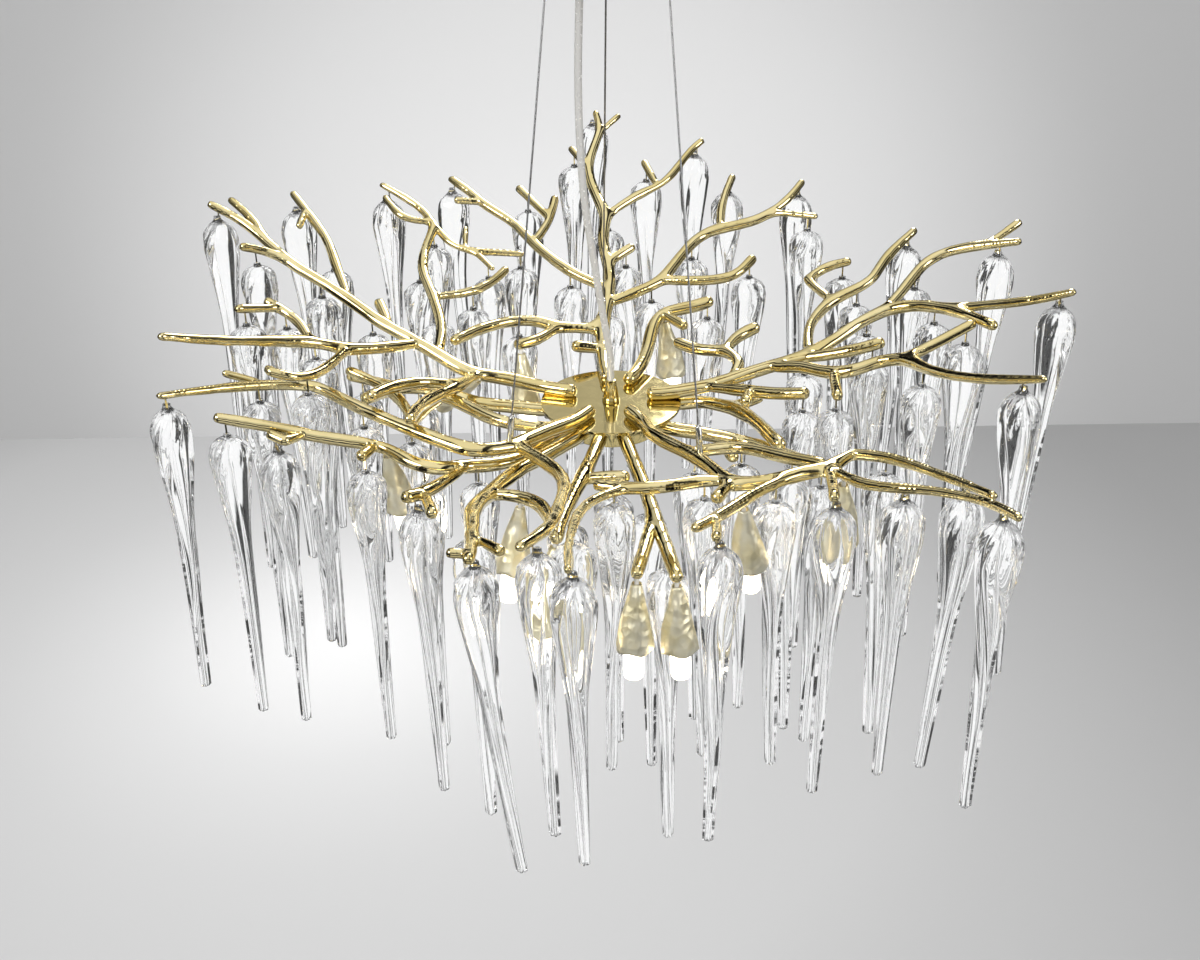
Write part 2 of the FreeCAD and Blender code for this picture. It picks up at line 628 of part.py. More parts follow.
screws = []
plate_holes = []
plate_top = HUB.z
plate_foot = plate_top - size("plate_sheet")
bite = size("bough_screw_bite")
for tier, boughs in (("upper", UPPER), ("lower", LOWER)):
    for name, branches in boughs.items():
        bearing = branches["trunk"][0]
        if tier == "upper":
            place = polar(size("foot_start") + 0.6 * size("foot_radius") + 0.5, bearing, 0)
            seat = plate_foot
            top = plate_top + bite
        else:
            place = polar(size("plate_radius") - size("foot_radius"), bearing, 0)
            seat = plate_foot - 2 * size("foot_radius") * FLAT
            top = plate_foot + 0.6 * size("plate_sheet")
        hole = hexagon(size("bough_screw_radius") + size("screw_clearance"), seat - 1, top + 0.2, place)
        BOUGHS[name] = BOUGHS[name].cut(hole)
        plate_holes.append(hole)
        head = hexagon(size("bough_screw_head"), seat - size("bough_screw_head_height"), seat, place)
        shaft = hexagon(size("bough_screw_radius"), seat, top, place)
        screws.append(head.fuse(shaft).removeSplitter())
keep("bough_screws", formed("branch_screws", Part.makeCompound([one.Solids[0] for one in screws])))
tube_hole = lathe([(0, plate_foot - 1), (size("nipple_radius") + size("screw_clearance"), plate_foot - 1),
                   (size("nipple_radius") + size("screw_clearance"), plate_top + 1),
                   (0, plate_top + 1)], GRIP_SIDES)
keep("hub_plate", formed("plate", plate_blank.Shape.cut(plate_holes + [tube_hole])))


# ---------------------------------------------------------------- glass drops
DROP_SIDES = 8
VALLEY = 0.88
TAIL_FIRST = 0.25


def flat_ring(half_width, half_sheet, height):
    """Four level corners of the flat eye, in the order of a ring's corners."""
    return [Vector(half_width, half_sheet, height), Vector(half_width, -half_sheet, height),
            Vector(-half_width, -half_sheet, height), Vector(-half_width, half_sheet, height)]


def glass_drop(length, lean, pierced):
    """A drop about its hinge point: flat eye, lobed head and a tail whose end leans to one side."""
    right = Vector(1, 0, 0)
    away = Vector(0, 1, 0)
    wide = size("eye_width") / 2
    thick = size("eye_sheet") / 2
    rings = [flat_ring(wide, thick, size("eye_top")), flat_ring(wide, thick, -size("eye_top"))]
    if not pierced:
        rings.pop(0)
    for depth, radius in ((size("drop_shoulder"), size("drop_radius") * 0.88),
                          (size("drop_belly"), size("drop_radius"))):
        rings.append(ring(Vector(0, 0, -depth), right, away, radius, DROP_SIDES, VALLEY))
    for depth, radius in ((size("drop_waist"), size("drop_radius") * 0.52),
                          (length, size("tail_radius"))):
        share = (depth - size("drop_belly")) / (length - size("drop_belly"))
        centre = lean * share ** 1.3 + Vector(0, 0, -depth)
        rings.append(ring(centre, right, away, radius, DROP_SIDES // 2, 1.0, TAIL_FIRST))
    whole = skin(rings)
    if pierced:
        reach = (size("hook_wire") + size("eye_play")) * math.sqrt(2)
        corners = []
        for side in (-size("eye_sheet"), size("eye_sheet")):
            corners.append([Vector(reach, side, 0), Vector(0, side, reach),
                            Vector(-reach, side, 0), Vector(0, side, -reach)])
        whole = whole.cut(skin(corners)).removeSplitter()
    return whole.Solids[0]


# Hanging places: branch piece, its branch, the place on it, length, and how far the end of the
# tail leans outward and round. The first list swings, and the second hangs in fixed groups.
SWINGING = [
    ("bough_front_left", "trunk", 10.9, 252, 6, 14),
    ("bough_left", "trunk", 11.7, 236, 4, 6),
    ("bough_left", "second", 3.6, 240, 2, -6),
    ("bough_left", "rear", 5.8, 244, -4, 6),
    ("bough_back", "left", 6.8, 240, 2, -8),
    ("bough_back", "trunk", 10.9, 250, 0, 6),
    ("bough_back", "high", 3.6, 244, 4, 4),
    ("bough_back", "right_rise", 1.8, 236, 2, 8),
    ("bough_back", "right", 6.8, 246, 4, -6),
    ("bough_right", "rear", 4.8, 240, 0, 8),
    ("bough_right", "rise", 3.7, 256, -10, 10),
    ("bough_right", "tip", 2.6, 300, -14, 8),
    ("bough_right", "fore", 7.6, 250, 6, 6),
    ("bough_front_right", "outer", 3.5, 232, 6, -8),
    ("bough_front_right", "trunk", 12.0, 240, -8, -6),
    ("bough_front_right", "outer", 1.75, 240, 2, -4),
    ("bough_front_right", "down", 0.9, 252, 2, -6),
    ("bough_front_right", "fork_peg", 0.8, 250, 4, -4),
    ("bough_front_right", "arch", 3.7, 236, 2, 4),
    ("lower_front", "trunk", 6.7, 256, 8, 26),
    ("bough_front_left", "fore", 4.6, 240, 2, 6),
    ("lower_front_left", "fore", 1.6, 256, 6, 10),
    ("lower_front_left", "spur", 1.6, 262, 4, -4),
]
FIXED = {
    "fixed_drops_left": [
        ("bough_left", "spur", 1.5, 240, 3, 4),
        ("bough_left", "second", 1.4, 236, 0, 5),
        ("bough_left", "level_twig", 0.8, 240, 5, 3),
        ("bough_left", "level_spur", 1.4, 236, 2, -5),
        ("bough_left", "level_down", 1.6, 244, 3, -6),
        ("lower_left", "twig", 0.7, 240, 4, 5),
        ("lower_left", "arm", 1.7, 246, -4, 6),
        ("lower_front_left", "peg", 0.8, 262, 2, 5),
        ("lower_front_left", "trunk", 9.8, 262, 4, 12),
        ("bough_left", "trunk", 6.2, 238, 3, 4),
        ("bough_left", "trunk", 8.0, 242, 2, 3),
        ("bough_left", "level", 2.9, 236, 4, 3),
        ("bough_front_left", "trunk", 6.8, 248, 3, 4),
        ("bough_front_left", "trunk", 8.1, 244, 2, 5),
        ("bough_front_left", "trunk", 9.5, 252, 3, 3),
        ("lower_left", "trunk", 5.3, 240, 3, 3),
        ("lower_front_left", "trunk", 5.4, 258, 2, 4),
    ],
    "fixed_drops_back": [
        ("bough_left", "rear", 2.9, 230, 3, 3),
        ("bough_left", "rear_drop", 0.7, 226, -3, 4),
        ("bough_left", "rear_right", 3.8, 236, 2, 3),
        ("bough_back", "left_cross", 0.7, 240, 2, 5),
        ("bough_back", "knob", 0.8, 236, -3, 3),
        ("bough_back", "peg", 0.7, 226, 2, -4),
        ("bough_back", "high_spur", 0.8, 240, 3, 3),
        ("bough_back", "right_low", 2.8, 232, 2, 4),
        ("bough_back", "right_spur", 0.8, 240, 4, 3),
        ("bough_back_right", "trunk", 4.8, 226, 2, 4),
        ("bough_right", "rear_spur", 2.7, 232, 2, 3),
        ("bough_left", "rear", 1.7, 232, 3, 3),
        ("bough_left", "rear", 3.9, 238, 2, 3),
        ("bough_left", "rear_arm", 0.8, 230, 3, 2),
        ("bough_back", "low_left", 2.8, 228, 2, 3),
        ("bough_back", "trunk", 3.3, 226, 3, 3),
        ("bough_back", "trunk", 7.0, 240, 2, 3),
        ("bough_back", "left", 1.4, 230, 2, 4),
        ("bough_back", "right", 1.5, 228, 3, 2),
        ("bough_back", "right", 3.4, 236, 2, 3),
        ("bough_right", "rear", 2.6, 238, 3, 3),
    ],
    "fixed_drops_right": [
        ("bough_right", "fore_spur", 1.7, 236, 3, 4),
        ("bough_right", "fore", 5.6, 246, 2, 6),
        ("bough_right", "twig", 1.7, 236, 3, -3),
        ("bough_right", "fore_peg", 0.8, 240, 2, 3),
        ("bough_right", "low", 2.9, 240, 2, 4),
        ("lower_front_right", "trunk", 4.7, 250, 3, -6),
        ("bough_front_right", "fork", 0.6, 246, 3, 5),
        ("bough_front_right", "across", 3.3, 250, 2, -4),
        ("bough_right", "trunk", 4.2, 234, 3, 3),
        ("bough_right", "trunk", 6.4, 238, 2, 4),
        ("bough_right", "trunk", 8.4, 242, 3, 3),
        ("bough_right", "rise", 1.6, 240, 3, 2),
        ("bough_front_right", "trunk", 9.9, 244, 3, 3),
        ("bough_front_right", "loop", 3.2, 242, 2, 4),
    ],
    "fixed_drops_front": [
        ("lower_front_left", "trunk", 3.8, 250, 3, 4),
        ("lower_front", "trunk", 5.5, 254, 3, 3),
        ("lower_lamp_left", "trunk", 3.0, 252, 2, 4),
        ("lower_lamp_left", "arm", 1.4, 246, 3, 3),
        ("lower_lamp_right", "trunk", 2.6, 250, 3, 3),
        ("lower_lamp_right", "trunk", 4.0, 256, 3, 2),
        ("bough_front_right", "arch", 2.2, 246, 2, 3),
        ("bough_front_right", "trunk", 3.8, 240, 3, 3),
        ("bough_front_right", "loop", 1.9, 238, 3, 3),
        ("bough_front_right", "across", 0.8, 244, 2, 3),
    ],
}
STAND_OFF = size("hook_wire") + size("hook_play") + size("eye_sheet") / 2


def hanging_place(entry):
    """Under a twig: the twig's centre, the hinge point, and the level turn axis."""
    bough, branch, place = entry[:3]
    centre, distance, _ = LIMBS[bough, branch].at(place)
    outward = Vector(centre.x, centre.y, 0).normalize()
    axis = Vector(-outward.y, outward.x, 0)
    hinge = centre - Vector(0, 0, radius_at(distance) + size("hook_depth"))
    return centre, hinge, axis


def place_drop(entry, hinge, axis, pierced):
    outward = Vector(axis.y, -axis.x, 0)
    length, lean_out, lean_round = entry[3:]
    turn = Rotation(outward, axis, Vector(0, 0, 1), "ZXY")
    shape = glass_drop(length, Vector(lean_out, lean_round, 0), pierced)
    shape.Placement = Placement(hinge, turn)
    return shape


HOOK_SIDES = 3
hooks = []
JOINTS = []
for number, entry in enumerate(SWINGING, start=1):
    centre, hinge, axis = hanging_place(entry)
    tip = hinge + axis * (2 * STAND_OFF + size("hook_wire"))
    outward = Vector(axis.y, -axis.x, 0)
    wire = limb([centre, hinge, tip], [size("hook_wire")] * 3, HOOK_SIDES, outward)
    hooks.append(wire.cut(BOUGHS[entry[0]]).Solids[-1])
    hang = hinge + axis * STAND_OFF
    keep("drop_%02d" % number, formed("drop_piece_%02d" % number, place_drop(entry, hang, axis, True)))
    JOINTS.append((number, hang, axis))
for group, entries in FIXED.items():
    solids = []
    for entry in entries:
        centre, hinge, axis = hanging_place(entry)
        outward = Vector(axis.y, -axis.x, 0)
        wire = limb([centre, hinge - Vector(0, 0, size("eye_top"))], [size("hook_wire")] * 2,
                    HOOK_SIDES, outward)
        hooks.append(wire.cut(BOUGHS[entry[0]]).Solids[-1])
        solids.append(place_drop(entry, hinge, axis, False))
    keep(group, formed(group + "_pieces", Part.makeCompound(solids)))
keep("drop_hooks", formed("hooks", Part.makeCompound(hooks)))

# ---------------------------------------------------------------- lamps
# Branch piece, its branch, the place on it, and the way the mouth points.
LAMPS = [
    ("lower_lamp_left", "trunk", 3.9, (-10, -17, -55)),
    ("lower_lamp_right", "trunk", 4.9, (3, -3, -60)),
    ("lower_lamp_right", "arm", 1.9, (-2, -6, -60)),
    ("lower_front", "arm", 0.8, (-8, -10, -50)),
    ("bough_front_right", "fork", 2.1, (6, 8, -50)),
    ("lower_front_left", "trunk", 6.9, (6, 8, -52)),
    ("bough_front_right", "outer", 0.4, (2, 6, -50)),
    ("bough_left", "trunk", 2.6, (-38, 24, -30)),
    ("bough_back_right", "trunk", 3.1, (6, -4, -50)),
    ("bough_back", "low_left_spur", 1.8, (4, -14, -48)),
]
LAMP_SIDES = 8
SOCKET_SIDES = 6


def hanging(profile, count):
    """A flat-sided turned solid below the origin, through (radius, depth) corners."""
    return lathe([(radius, -depth) for radius, depth in profile], count)


def shade_solid():
    """A thin hammered cone, open at its mouth, with a hole at its top for the neck."""
    return hanging([
        (size("lamp_top"), 0),
        (size("lamp_mouth"), size("lamp_length")),
        (size("lamp_mouth") - size("lamp_wall"), size("lamp_length")),
        ((size("neck_radius") + size("screw_clearance")) / math.cos(math.pi / LAMP_SIDES), 0),
    ], LAMP_SIDES)


def socket_solid():
    start = size("socket_start")
    end = start + size("socket_length")
    return hanging([
        (0, -size("neck_length") - size("foot_radius")),
        (size("neck_radius"), -size("neck_length") - size("foot_radius")),
        (size("neck_radius"), start),
        (size("socket_radius"), start + 2),
        (size("socket_radius"), end),
        (0, end),
    ], SOCKET_SIDES)


def capsule_solid():
    start = size("socket_start") + size("socket_length")
    end = start + size("capsule_length")
    return hanging([
        (0, start),
        (size("capsule_radius"), start),
        (size("capsule_radius"), end - 3),
        (size("capsule_radius") * 0.5, end),
        (0, end),
    ], LAMP_SIDES)


shades = []
sockets = []
capsules = []
for bough, branch, place, aim in LAMPS:
    centre, distance, _ = LIMBS[bough, branch].at(place)
    away = Vector(*aim).normalize()
    level, up = frame_along(away * -1)
    turn = Rotation(level, up, away * -1, "ZXY")
    top = centre + away * (radius_at(distance) + size("neck_length"))
    seat = Placement(top, turn)
    shade = shade_solid()
    shade.Placement = seat
    shades.append(shade)
    socket = socket_solid()
    socket.Placement = seat
    pieces = socket.cut(BOUGHS[bough]).Solids
    sockets.append(max(pieces, key=lambda solid: solid.Volume))
    capsule = capsule_solid()
    capsule.Placement = seat
    capsules.append(capsule)
keep("lamp_shades", formed("shades", Part.makeCompound(shades)))
keep("lamp_sockets", formed("sockets", Part.makeCompound(sockets)))
keep("lamp_capsules", formed("capsules", Part.makeCompound(capsules)))


# ---------------------------------------------------------------- wires and cord
# The wires run from grippers in the cup to couplings on three branches.
WIRE_FEET = {
    "back": ("bough_back", "trunk", 2.3),
    "left": ("bough_front_left", "trunk", 3.2),
    "right": ("bough_front_right", "trunk", 4.0),
}


def placed(solid, place, direction):
    """A copy of a solid that stands on its foot at a place and points along a direction."""
    copy = solid.copy()
    copy.Placement = Placement(place, Rotation(Vector(0, 0, 1), direction))
    return copy


def gripper_solid():
    """Barrel under the cup, neck through its floor and a collar inside."""
    radius = size("gripper_radius")
    neck = size("gripper_neck")
    shoulder = size("gripper_height")
    collar = shoulder + size("cup_wall") + size("screw_clearance")
    return lathe([(0, 0), (radius - 2, 0), (radius, 2), (radius, shoulder), (neck, shoulder),
                  (neck, collar), (neck + 1.5, collar), (neck + 1.5, collar + 3), (0, collar + 3)],
                 GRIPPER_SIDES)


def coupling_solid():
    """A round barrel whose foot the branch cuts to a saddle."""
    radius = size("coupling_radius")
    top = size("coupling_length") + size("foot_radius")
    return lathe([(0, 0), (radius, 0), (radius, top - 1.5), (radius - 1.2, top), (0, top)],
                 GRIPPER_SIDES)


UP = Vector(0, 0, 1)
gripper_foot = -size("cup_height") - size("gripper_height")
grippers = []
couplings = []
wires = []
for side, bearing in WIRE_BEARINGS.items():
    bough, branch, place = WIRE_FEET[side]
    foot = LIMBS[bough, branch].at(place)[0]
    hang = polar(size("wire_circle"), bearing, gripper_foot)
    grippers.append(placed(gripper_solid(), hang, UP))
    course = (hang - foot).normalize()
    pieces = placed(coupling_solid(), foot, course).cut(BOUGHS[bough]).Solids
    couplings.append(max(pieces, key=lambda solid: solid.Volume))
    start = foot + course * (size("coupling_length") + size("foot_radius"))
    length = (hang - start).Length - size("wire_play")
    wires.append(limb([start, start + course * length], [size("wire_radius")] * 2, WIRE_SIDES))
    print("wire", side, "from", tuple(round(c, 1) for c in start), "length", round(length, 1))
keep("wire_grippers", formed("grippers", Part.makeCompound(grippers)))
keep("wire_couplings", formed("couplings", Part.makeCompound(couplings)))
keep("suspension_wires", formed("wires", Part.makeCompound(wires)))


def cup_screw_solid():
    """Shank from inside the lug, and a head outside the cup."""
    radius = size("cup_screw_radius")
    head = size("cup_screw_head")
    seat = size("cup_radius") - size("bracket_length") / 2 + size("bracket_sheet") + 1
    return lathe([(0, 0), (radius, 0), (radius, seat), (head, seat), (head, seat + 2.5),
                  (0, seat + 2.5)], 6)


cup_screws = []
screw_foot = size("bracket_length") / 2 - size("bracket_sheet") - 1
for sign in (-1, 1):
    spot = Vector(sign * screw_foot, 0, -size("cup_screw_drop"))
    cup_screws.append(placed(cup_screw_solid(), spot, Vector(sign, 0, 0)))
keep("canopy_screws", formed("cup_screws", Part.makeCompound(cup_screws)))


def bored(radius):
    """The corner radius of a flat-sided bore that clears a round piece of this radius."""
    return (radius + 0.05) / math.cos(math.pi / GRIP_SIDES)


def grip_solid():
    """Tapered barrel under the cup and a neck through its floor, bored for the cord."""
    bore = bored(size("cord_radius"))
    height = size("grip_height")
    neck = height + size("cup_wall") + 5
    return lathe([(bore, 0), (bore + 1.5, 0), (size("grip_radius"), 0.6 * height),
                  (size("grip_radius"), height), (size("grip_neck"), height),
                  (size("grip_neck"), neck), (bore, neck)], GRIP_SIDES)


def gland_solid():
    """Tapered gland on the hub plate: wide bore over the tube, its top closed round the cord."""
    tube = size("nipple_radius") + size("screw_clearance")
    top = size("gland_height")
    return lathe([(tube, 0), (size("gland_radius"), 0), (size("gland_radius"), 3),
                  (size("gland_tip"), top), (size("cord_radius") - 0.6, top),
                  (size("cord_radius") - 0.6, 5), (tube, 5)], GRIP_SIDES)


def drum_solid():
    """Spun drum under the hub plate, with a hole in its floor for the tube."""
    radius = size("drum_radius")
    wall = size("drum_wall")
    height = size("drum_height")
    tube = size("nipple_radius") + size("screw_clearance")
    return lathe([(tube, 0), (radius, 0), (radius, height), (radius - wall, height),
                  (radius - wall, wall), (tube, wall)], DRUM_SIDES)


def nut_solid():
    """Closed round nut under the drum."""
    tube = size("nipple_radius") + size("screw_clearance")
    height = size("nut_height")
    wide = size("nut_radius")
    return lathe([(0, 0), (wide - 2, 0), (wide, 2), (wide, height), (0, height)], GRIP_SIDES).cut(
        lathe([(0, 1), (tube, 1), (tube, height + 1), (0, height + 1)], GRIP_SIDES))


drum_foot = plate_top - size("plate_sheet") - size("drum_height")
grip_place = Vector(-size("cord_offset"), 0, -size("cup_height") - size("grip_height"))
nipple_foot = drum_foot - size("nut_height") + 1
nipple_top = plate_top + 4
nipple = lathe([(size("nipple_bore"), nipple_foot), (size("nipple_radius"), nipple_foot),
                (size("nipple_radius"), nipple_top), (size("nipple_bore"), nipple_top)],
               GRIP_SIDES)
keep("hub_drum", formed("drum", placed(drum_solid(), Vector(0, 0, drum_foot), UP)))
keep("cord_grip", formed("grip", placed(grip_solid(), grip_place, UP)))
keep("cord_gland", formed("gland", placed(gland_solid(), Vector(0, 0, plate_top), UP)))
keep("hub_nut", formed("nut", placed(nut_solid(), Vector(0, 0, drum_foot - size("nut_height")), UP)))
keep("hub_nipple", formed("nipple", nipple))

# The clear cord hangs from the grip to the gland: (right, height above the hub plate) of the
# corners of its route. The ends take their heights from the grip and the gland.
CORD_ROUTE = [(-22.8, 300.0), (-23.2, 240.0), (-20.5, 180.0), (-13.5, 132.0), (-8.0, 92.0),
              (-3.5, 64.0), (0.0, 40.0)]
TURN_SHARE = 0.45
CORD_SIDES = 12


def cord_tube():
    """Straight runs joined by tangent arcs, swept with the cord's section of flat sides."""
    top = Vector(-size("cord_offset"), 0, -size("cup_height") - size("grip_height"))
    foot = HUB + Vector(0, 0, size("gland_height"))
    route = [top] + [HUB + Vector(x, 0, height) for x, height in CORD_ROUTE] + [foot]
    edges = []
    last = route[0]
    for before, corner, after in zip(route, route[1:], route[2:]):
        inward = Vector(corner - before)
        outward = Vector(after - corner)
        shorter = min(inward.Length, outward.Length)
        inward.normalize()
        outward.normalize()
        half = inward.getAngle(outward) / 2
        setback = TURN_SHARE * shorter
        radius = setback / math.tan(half)
        enter = corner - inward * setback
        leave = corner + outward * setback
        bisector = (outward - inward).normalize()
        crown = corner + bisector * (radius / math.cos(half) - radius)
        edges.append(Part.LineSegment(last, enter).toShape())
        edges.append(Part.Arc(enter, crown, leave).toShape())
        last = leave
        print("cord arc radius", round(radius, 1))
    edges.append(Part.LineSegment(last, route[-1]).toShape())
    path = Part.Wire(edges)
    start = (route[1] - route[0]).normalize()
    level, up = frame_along(start)
    corners = ring(route[0], level, up, size("cord_radius"), CORD_SIDES)
    section = Part.makePolygon(corners + [corners[0]])
    tube = path.makePipeShell([section], True, False)
    expected = Part.Face(section).Area * path.Length
    print("cord length", round(path.Length, 1), "volume share", round(tube.Volume / expected, 4))
    return tube


keep("power_cord", formed("cord", cord_tube()))

for name, solid in BOUGHS.items():
    keep(name, formed(name + "_casting", solid))

# ---------------------------------------------------------------- checks and export
doc.recompute()
faults = []
for item in doc.Objects:
    if "Invalid" in item.State or "Error" in item.State:
        faults.append(item.Name + " " + ",".join(item.State))
for piece in NODES:
    if piece.Shape.isNull() or not piece.Shape.isValid():
        faults.append(piece.Label + " has a bad shape")
if faults:
    raise RuntimeError("; ".join(faults))

os.makedirs("parts", exist_ok=True)
for piece in NODES:
    piece.Shape.exportStep("parts/" + piece.Label + ".step")
for number, point, axis in JOINTS:
    print("hinge", number, tuple(round(c, 3) for c in point), tuple(round(c, 5) for c in axis))
print(len(NODES), "nodes")
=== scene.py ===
import json
import math
import random

import bmesh
import bpy
from mathutils import Matrix, Vector

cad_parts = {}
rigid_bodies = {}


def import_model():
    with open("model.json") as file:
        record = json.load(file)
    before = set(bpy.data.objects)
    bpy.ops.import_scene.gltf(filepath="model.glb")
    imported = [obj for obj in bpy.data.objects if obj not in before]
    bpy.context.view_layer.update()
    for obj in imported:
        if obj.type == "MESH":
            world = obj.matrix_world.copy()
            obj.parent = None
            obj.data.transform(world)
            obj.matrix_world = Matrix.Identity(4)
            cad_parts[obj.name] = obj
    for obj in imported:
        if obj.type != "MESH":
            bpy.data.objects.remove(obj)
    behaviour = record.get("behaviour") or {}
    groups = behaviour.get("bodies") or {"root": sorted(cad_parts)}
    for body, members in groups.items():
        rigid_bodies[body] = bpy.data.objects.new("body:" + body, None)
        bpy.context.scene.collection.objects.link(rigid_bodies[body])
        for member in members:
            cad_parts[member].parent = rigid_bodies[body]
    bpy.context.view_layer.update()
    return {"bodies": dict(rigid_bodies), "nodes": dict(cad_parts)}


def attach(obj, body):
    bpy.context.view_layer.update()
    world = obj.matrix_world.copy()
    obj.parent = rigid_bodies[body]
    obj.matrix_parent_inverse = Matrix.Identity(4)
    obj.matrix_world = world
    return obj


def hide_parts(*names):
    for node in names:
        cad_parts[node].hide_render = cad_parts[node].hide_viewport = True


# Looks of the branch chandelier. Lengths are in metres, in the same frame as the CAD parts: the
# origin is the centre of the ceiling face, +Z is up and the photograph is taken from -Y.

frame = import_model()
NODES = frame["nodes"]
MM = 0.001
SAME_POINT = 0.01 * MM
LEVEL_STEP = 0.2 * MM
PLATE_TOP = -0.400
ROOT = "fixture"
scene = bpy.context.scene
scene.view_settings.view_transform = "Standard"


# ---------------------------------------------------------------- camera
CAMERA_PLACE = (-0.0104, -1.199, 0.200)
CAMERA_DOWN = 29.5
CAMERA_ROLL = -0.8
CAMERA_LENS = 46.8


def add_camera():
    """The photograph's view: it looks down at the light, with a slight roll."""
    data = bpy.data.cameras.new("camera")
    data.sensor_width = 36.0
    data.lens = CAMERA_LENS
    data.clip_start = 0.01
    data.clip_end = 50.0
    camera = bpy.data.objects.new("camera", data)
    scene.collection.objects.link(camera)
    tilt = Matrix.Rotation(math.radians(90 - CAMERA_DOWN), 4, "X")
    roll = Matrix.Rotation(math.radians(CAMERA_ROLL), 4, "Z")
    camera.matrix_world = Matrix.Translation(CAMERA_PLACE) @ tilt @ roll
    scene.camera = camera


add_camera()


# ---------------------------------------------------------------- mesh helpers
def make_object(name, mesh, material, body=ROOT):
    """A smooth-shaded piece that rides on a body."""
    piece = bpy.data.objects.new(name, mesh)
    scene.collection.objects.link(piece)
    mesh.materials.append(material)
    mesh.polygons.foreach_set("use_smooth", [True] * len(mesh.polygons))
    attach(piece, body)
    return piece


def add_rings(bm, rings, closed=False):
    """Quads between rings of points, capped at both ends unless the rings close on themselves."""
    made = [[bm.verts.new(point) for point in ring] for ring in rings]
    pairs = list(zip(made, made[1:] + made[:1])) if closed else list(zip(made, made[1:]))
    for low, high in pairs:
        count = len(low)
        for index in range(count):
            after = (index + 1) % count
            bm.faces.new((low[index], low[after], high[after], high[index]))
    if not closed:
        bm.faces.new(list(reversed(made[0])))
        bm.faces.new(made[-1])


def mesh_of(bm, name):
    """The finished mesh of a bmesh, with its faces turned outwards."""
    bmesh.ops.recalc_face_normals(bm, faces=bm.faces)
    mesh = bpy.data.meshes.new(name)
    bm.to_mesh(mesh)
    bm.free()
    return mesh


def turned_rings(profile, place, count=40):
    """Rings about the Z axis of a placement, through (radius, height) points."""
    rings = []
    for radius, height in profile:
        ring = []
        for index in range(count):
            turn = 2 * math.pi * index / count
            ring.append(place @ Vector((radius * math.cos(turn), radius * math.sin(turn), height)))
        rings.append(ring)
    return rings


def standing(point, direction=(0, 0, 1)):
    """The placement of a turned piece with its foot at a point."""
    turn = Vector(direction).to_track_quat("Z", "Y").to_matrix().to_4x4()
    return Matrix.Translation(Vector(point)) @ turn


def rounded(profile, bevel):
    """The profile with each inner corner cut into a small curve."""
    points = [profile[0]]
    for before, corner, after in zip(profile, profile[1:], profile[2:]):
        corner_v = Vector(corner)
        inward = Vector(before) - corner_v
        outward = Vector(after) - corner_v
        reach = min(bevel, 0.4 * inward.length, 0.4 * outward.length)
        start = corner_v + inward.normalized() * reach
        end = corner_v + outward.normalized() * reach
        middle = (start + end) / 4 + corner_v / 2
        points += [tuple(start), tuple(middle), tuple(end)]
    points.append(profile[-1])
    return points


def corner(points):
    """The lowest x and y of a solid in whole millimetres: the same however its mesh is ordered."""
    return round(min(p.x for p in points) / MM), round(min(p.y for p in points) / MM)


def islands(node):
    """The separate solids of a CAD node, each as a list of points."""
    bm = bmesh.new()
    bm.from_mesh(NODES[node].data)
    bmesh.ops.remove_doubles(bm, verts=bm.verts, dist=SAME_POINT)
    seen = set()
    groups = []
    for first in bm.verts:
        if first in seen:
            continue
        seen.add(first)
        stack = [first]
        group = []
        while stack:
            vert = stack.pop()
            group.append(vert.co.copy())
            for edge in vert.link_edges:
                other = edge.other_vert(vert)
                if other not in seen:
                    seen.add(other)
                    stack.append(other)
        groups.append(group)
    bm.free()
    groups.sort(key=corner)
    return groups


def levels(points):
    """Points grouped by height, lowest first: (centre, widest reach) of each group."""
    rows = []
    for point in sorted(points, key=lambda p: p.z):
        if rows and point.z - rows[-1][-1].z < LEVEL_STEP:
            rows[-1].append(point)
        else:
            rows.append([point])
    found = []
    for row in rows:
        centre = sum(row, Vector()) / len(row)
        found.append((centre, max((point - centre).length for point in row)))
    return found


# ---------------------------------------------------------------- materials
def new_material(name, colour, metallic, roughness):
    """A material and its shader, with plain values that noises may take over."""
    material = bpy.data.materials.new(name)
    material.use_nodes = True
    shader = material.node_tree.nodes["Principled BSDF"]
    shader.inputs["Base Color"].default_value = (*colour, 1.0)
    shader.inputs["Metallic"].default_value = metallic
    shader.inputs["Roughness"].default_value = roughness
    return material, shader


def add_noise(material, scale, detail=3.0):
    """A noise in the object's own space."""
    nodes = material.node_tree.nodes
    links = material.node_tree.links
    place = nodes.new("ShaderNodeTexCoord")
    noise = nodes.new("ShaderNodeTexNoise")
    noise.inputs["Scale"].default_value = scale
    noise.inputs["Detail"].default_value = detail
    links.new(place.outputs["Object"], noise.inputs["Vector"])
    return noise


def vary(material, shader, socket, noise, low, high):
    """Lets a value run between two limits with a noise."""
    ramp = material.node_tree.nodes.new("ShaderNodeMapRange")
    ramp.inputs["From Min"].default_value = 0.3
    ramp.inputs["From Max"].default_value = 0.7
    ramp.inputs["To Min"].default_value = low
    ramp.inputs["To Max"].default_value = high
    material.node_tree.links.new(noise.outputs["Fac"], ramp.inputs["Value"])
    material.node_tree.links.new(ramp.outputs["Result"], shader.inputs[socket])


def tint(material, shader, noise, first, second):
    """Lets the colour run between two tones with a noise."""
    ramp = material.node_tree.nodes.new("ShaderNodeValToRGB")
    ramp.color_ramp.elements[0].position = 0.35
    ramp.color_ramp.elements[0].color = (*first, 1.0)
    ramp.color_ramp.elements[1].position = 0.65
    ramp.color_ramp.elements[1].color = (*second, 1.0)
    material.node_tree.links.new(noise.outputs["Fac"], ramp.inputs["Fac"])
    material.node_tree.links.new(ramp.outputs["Color"], shader.inputs["Base Color"])


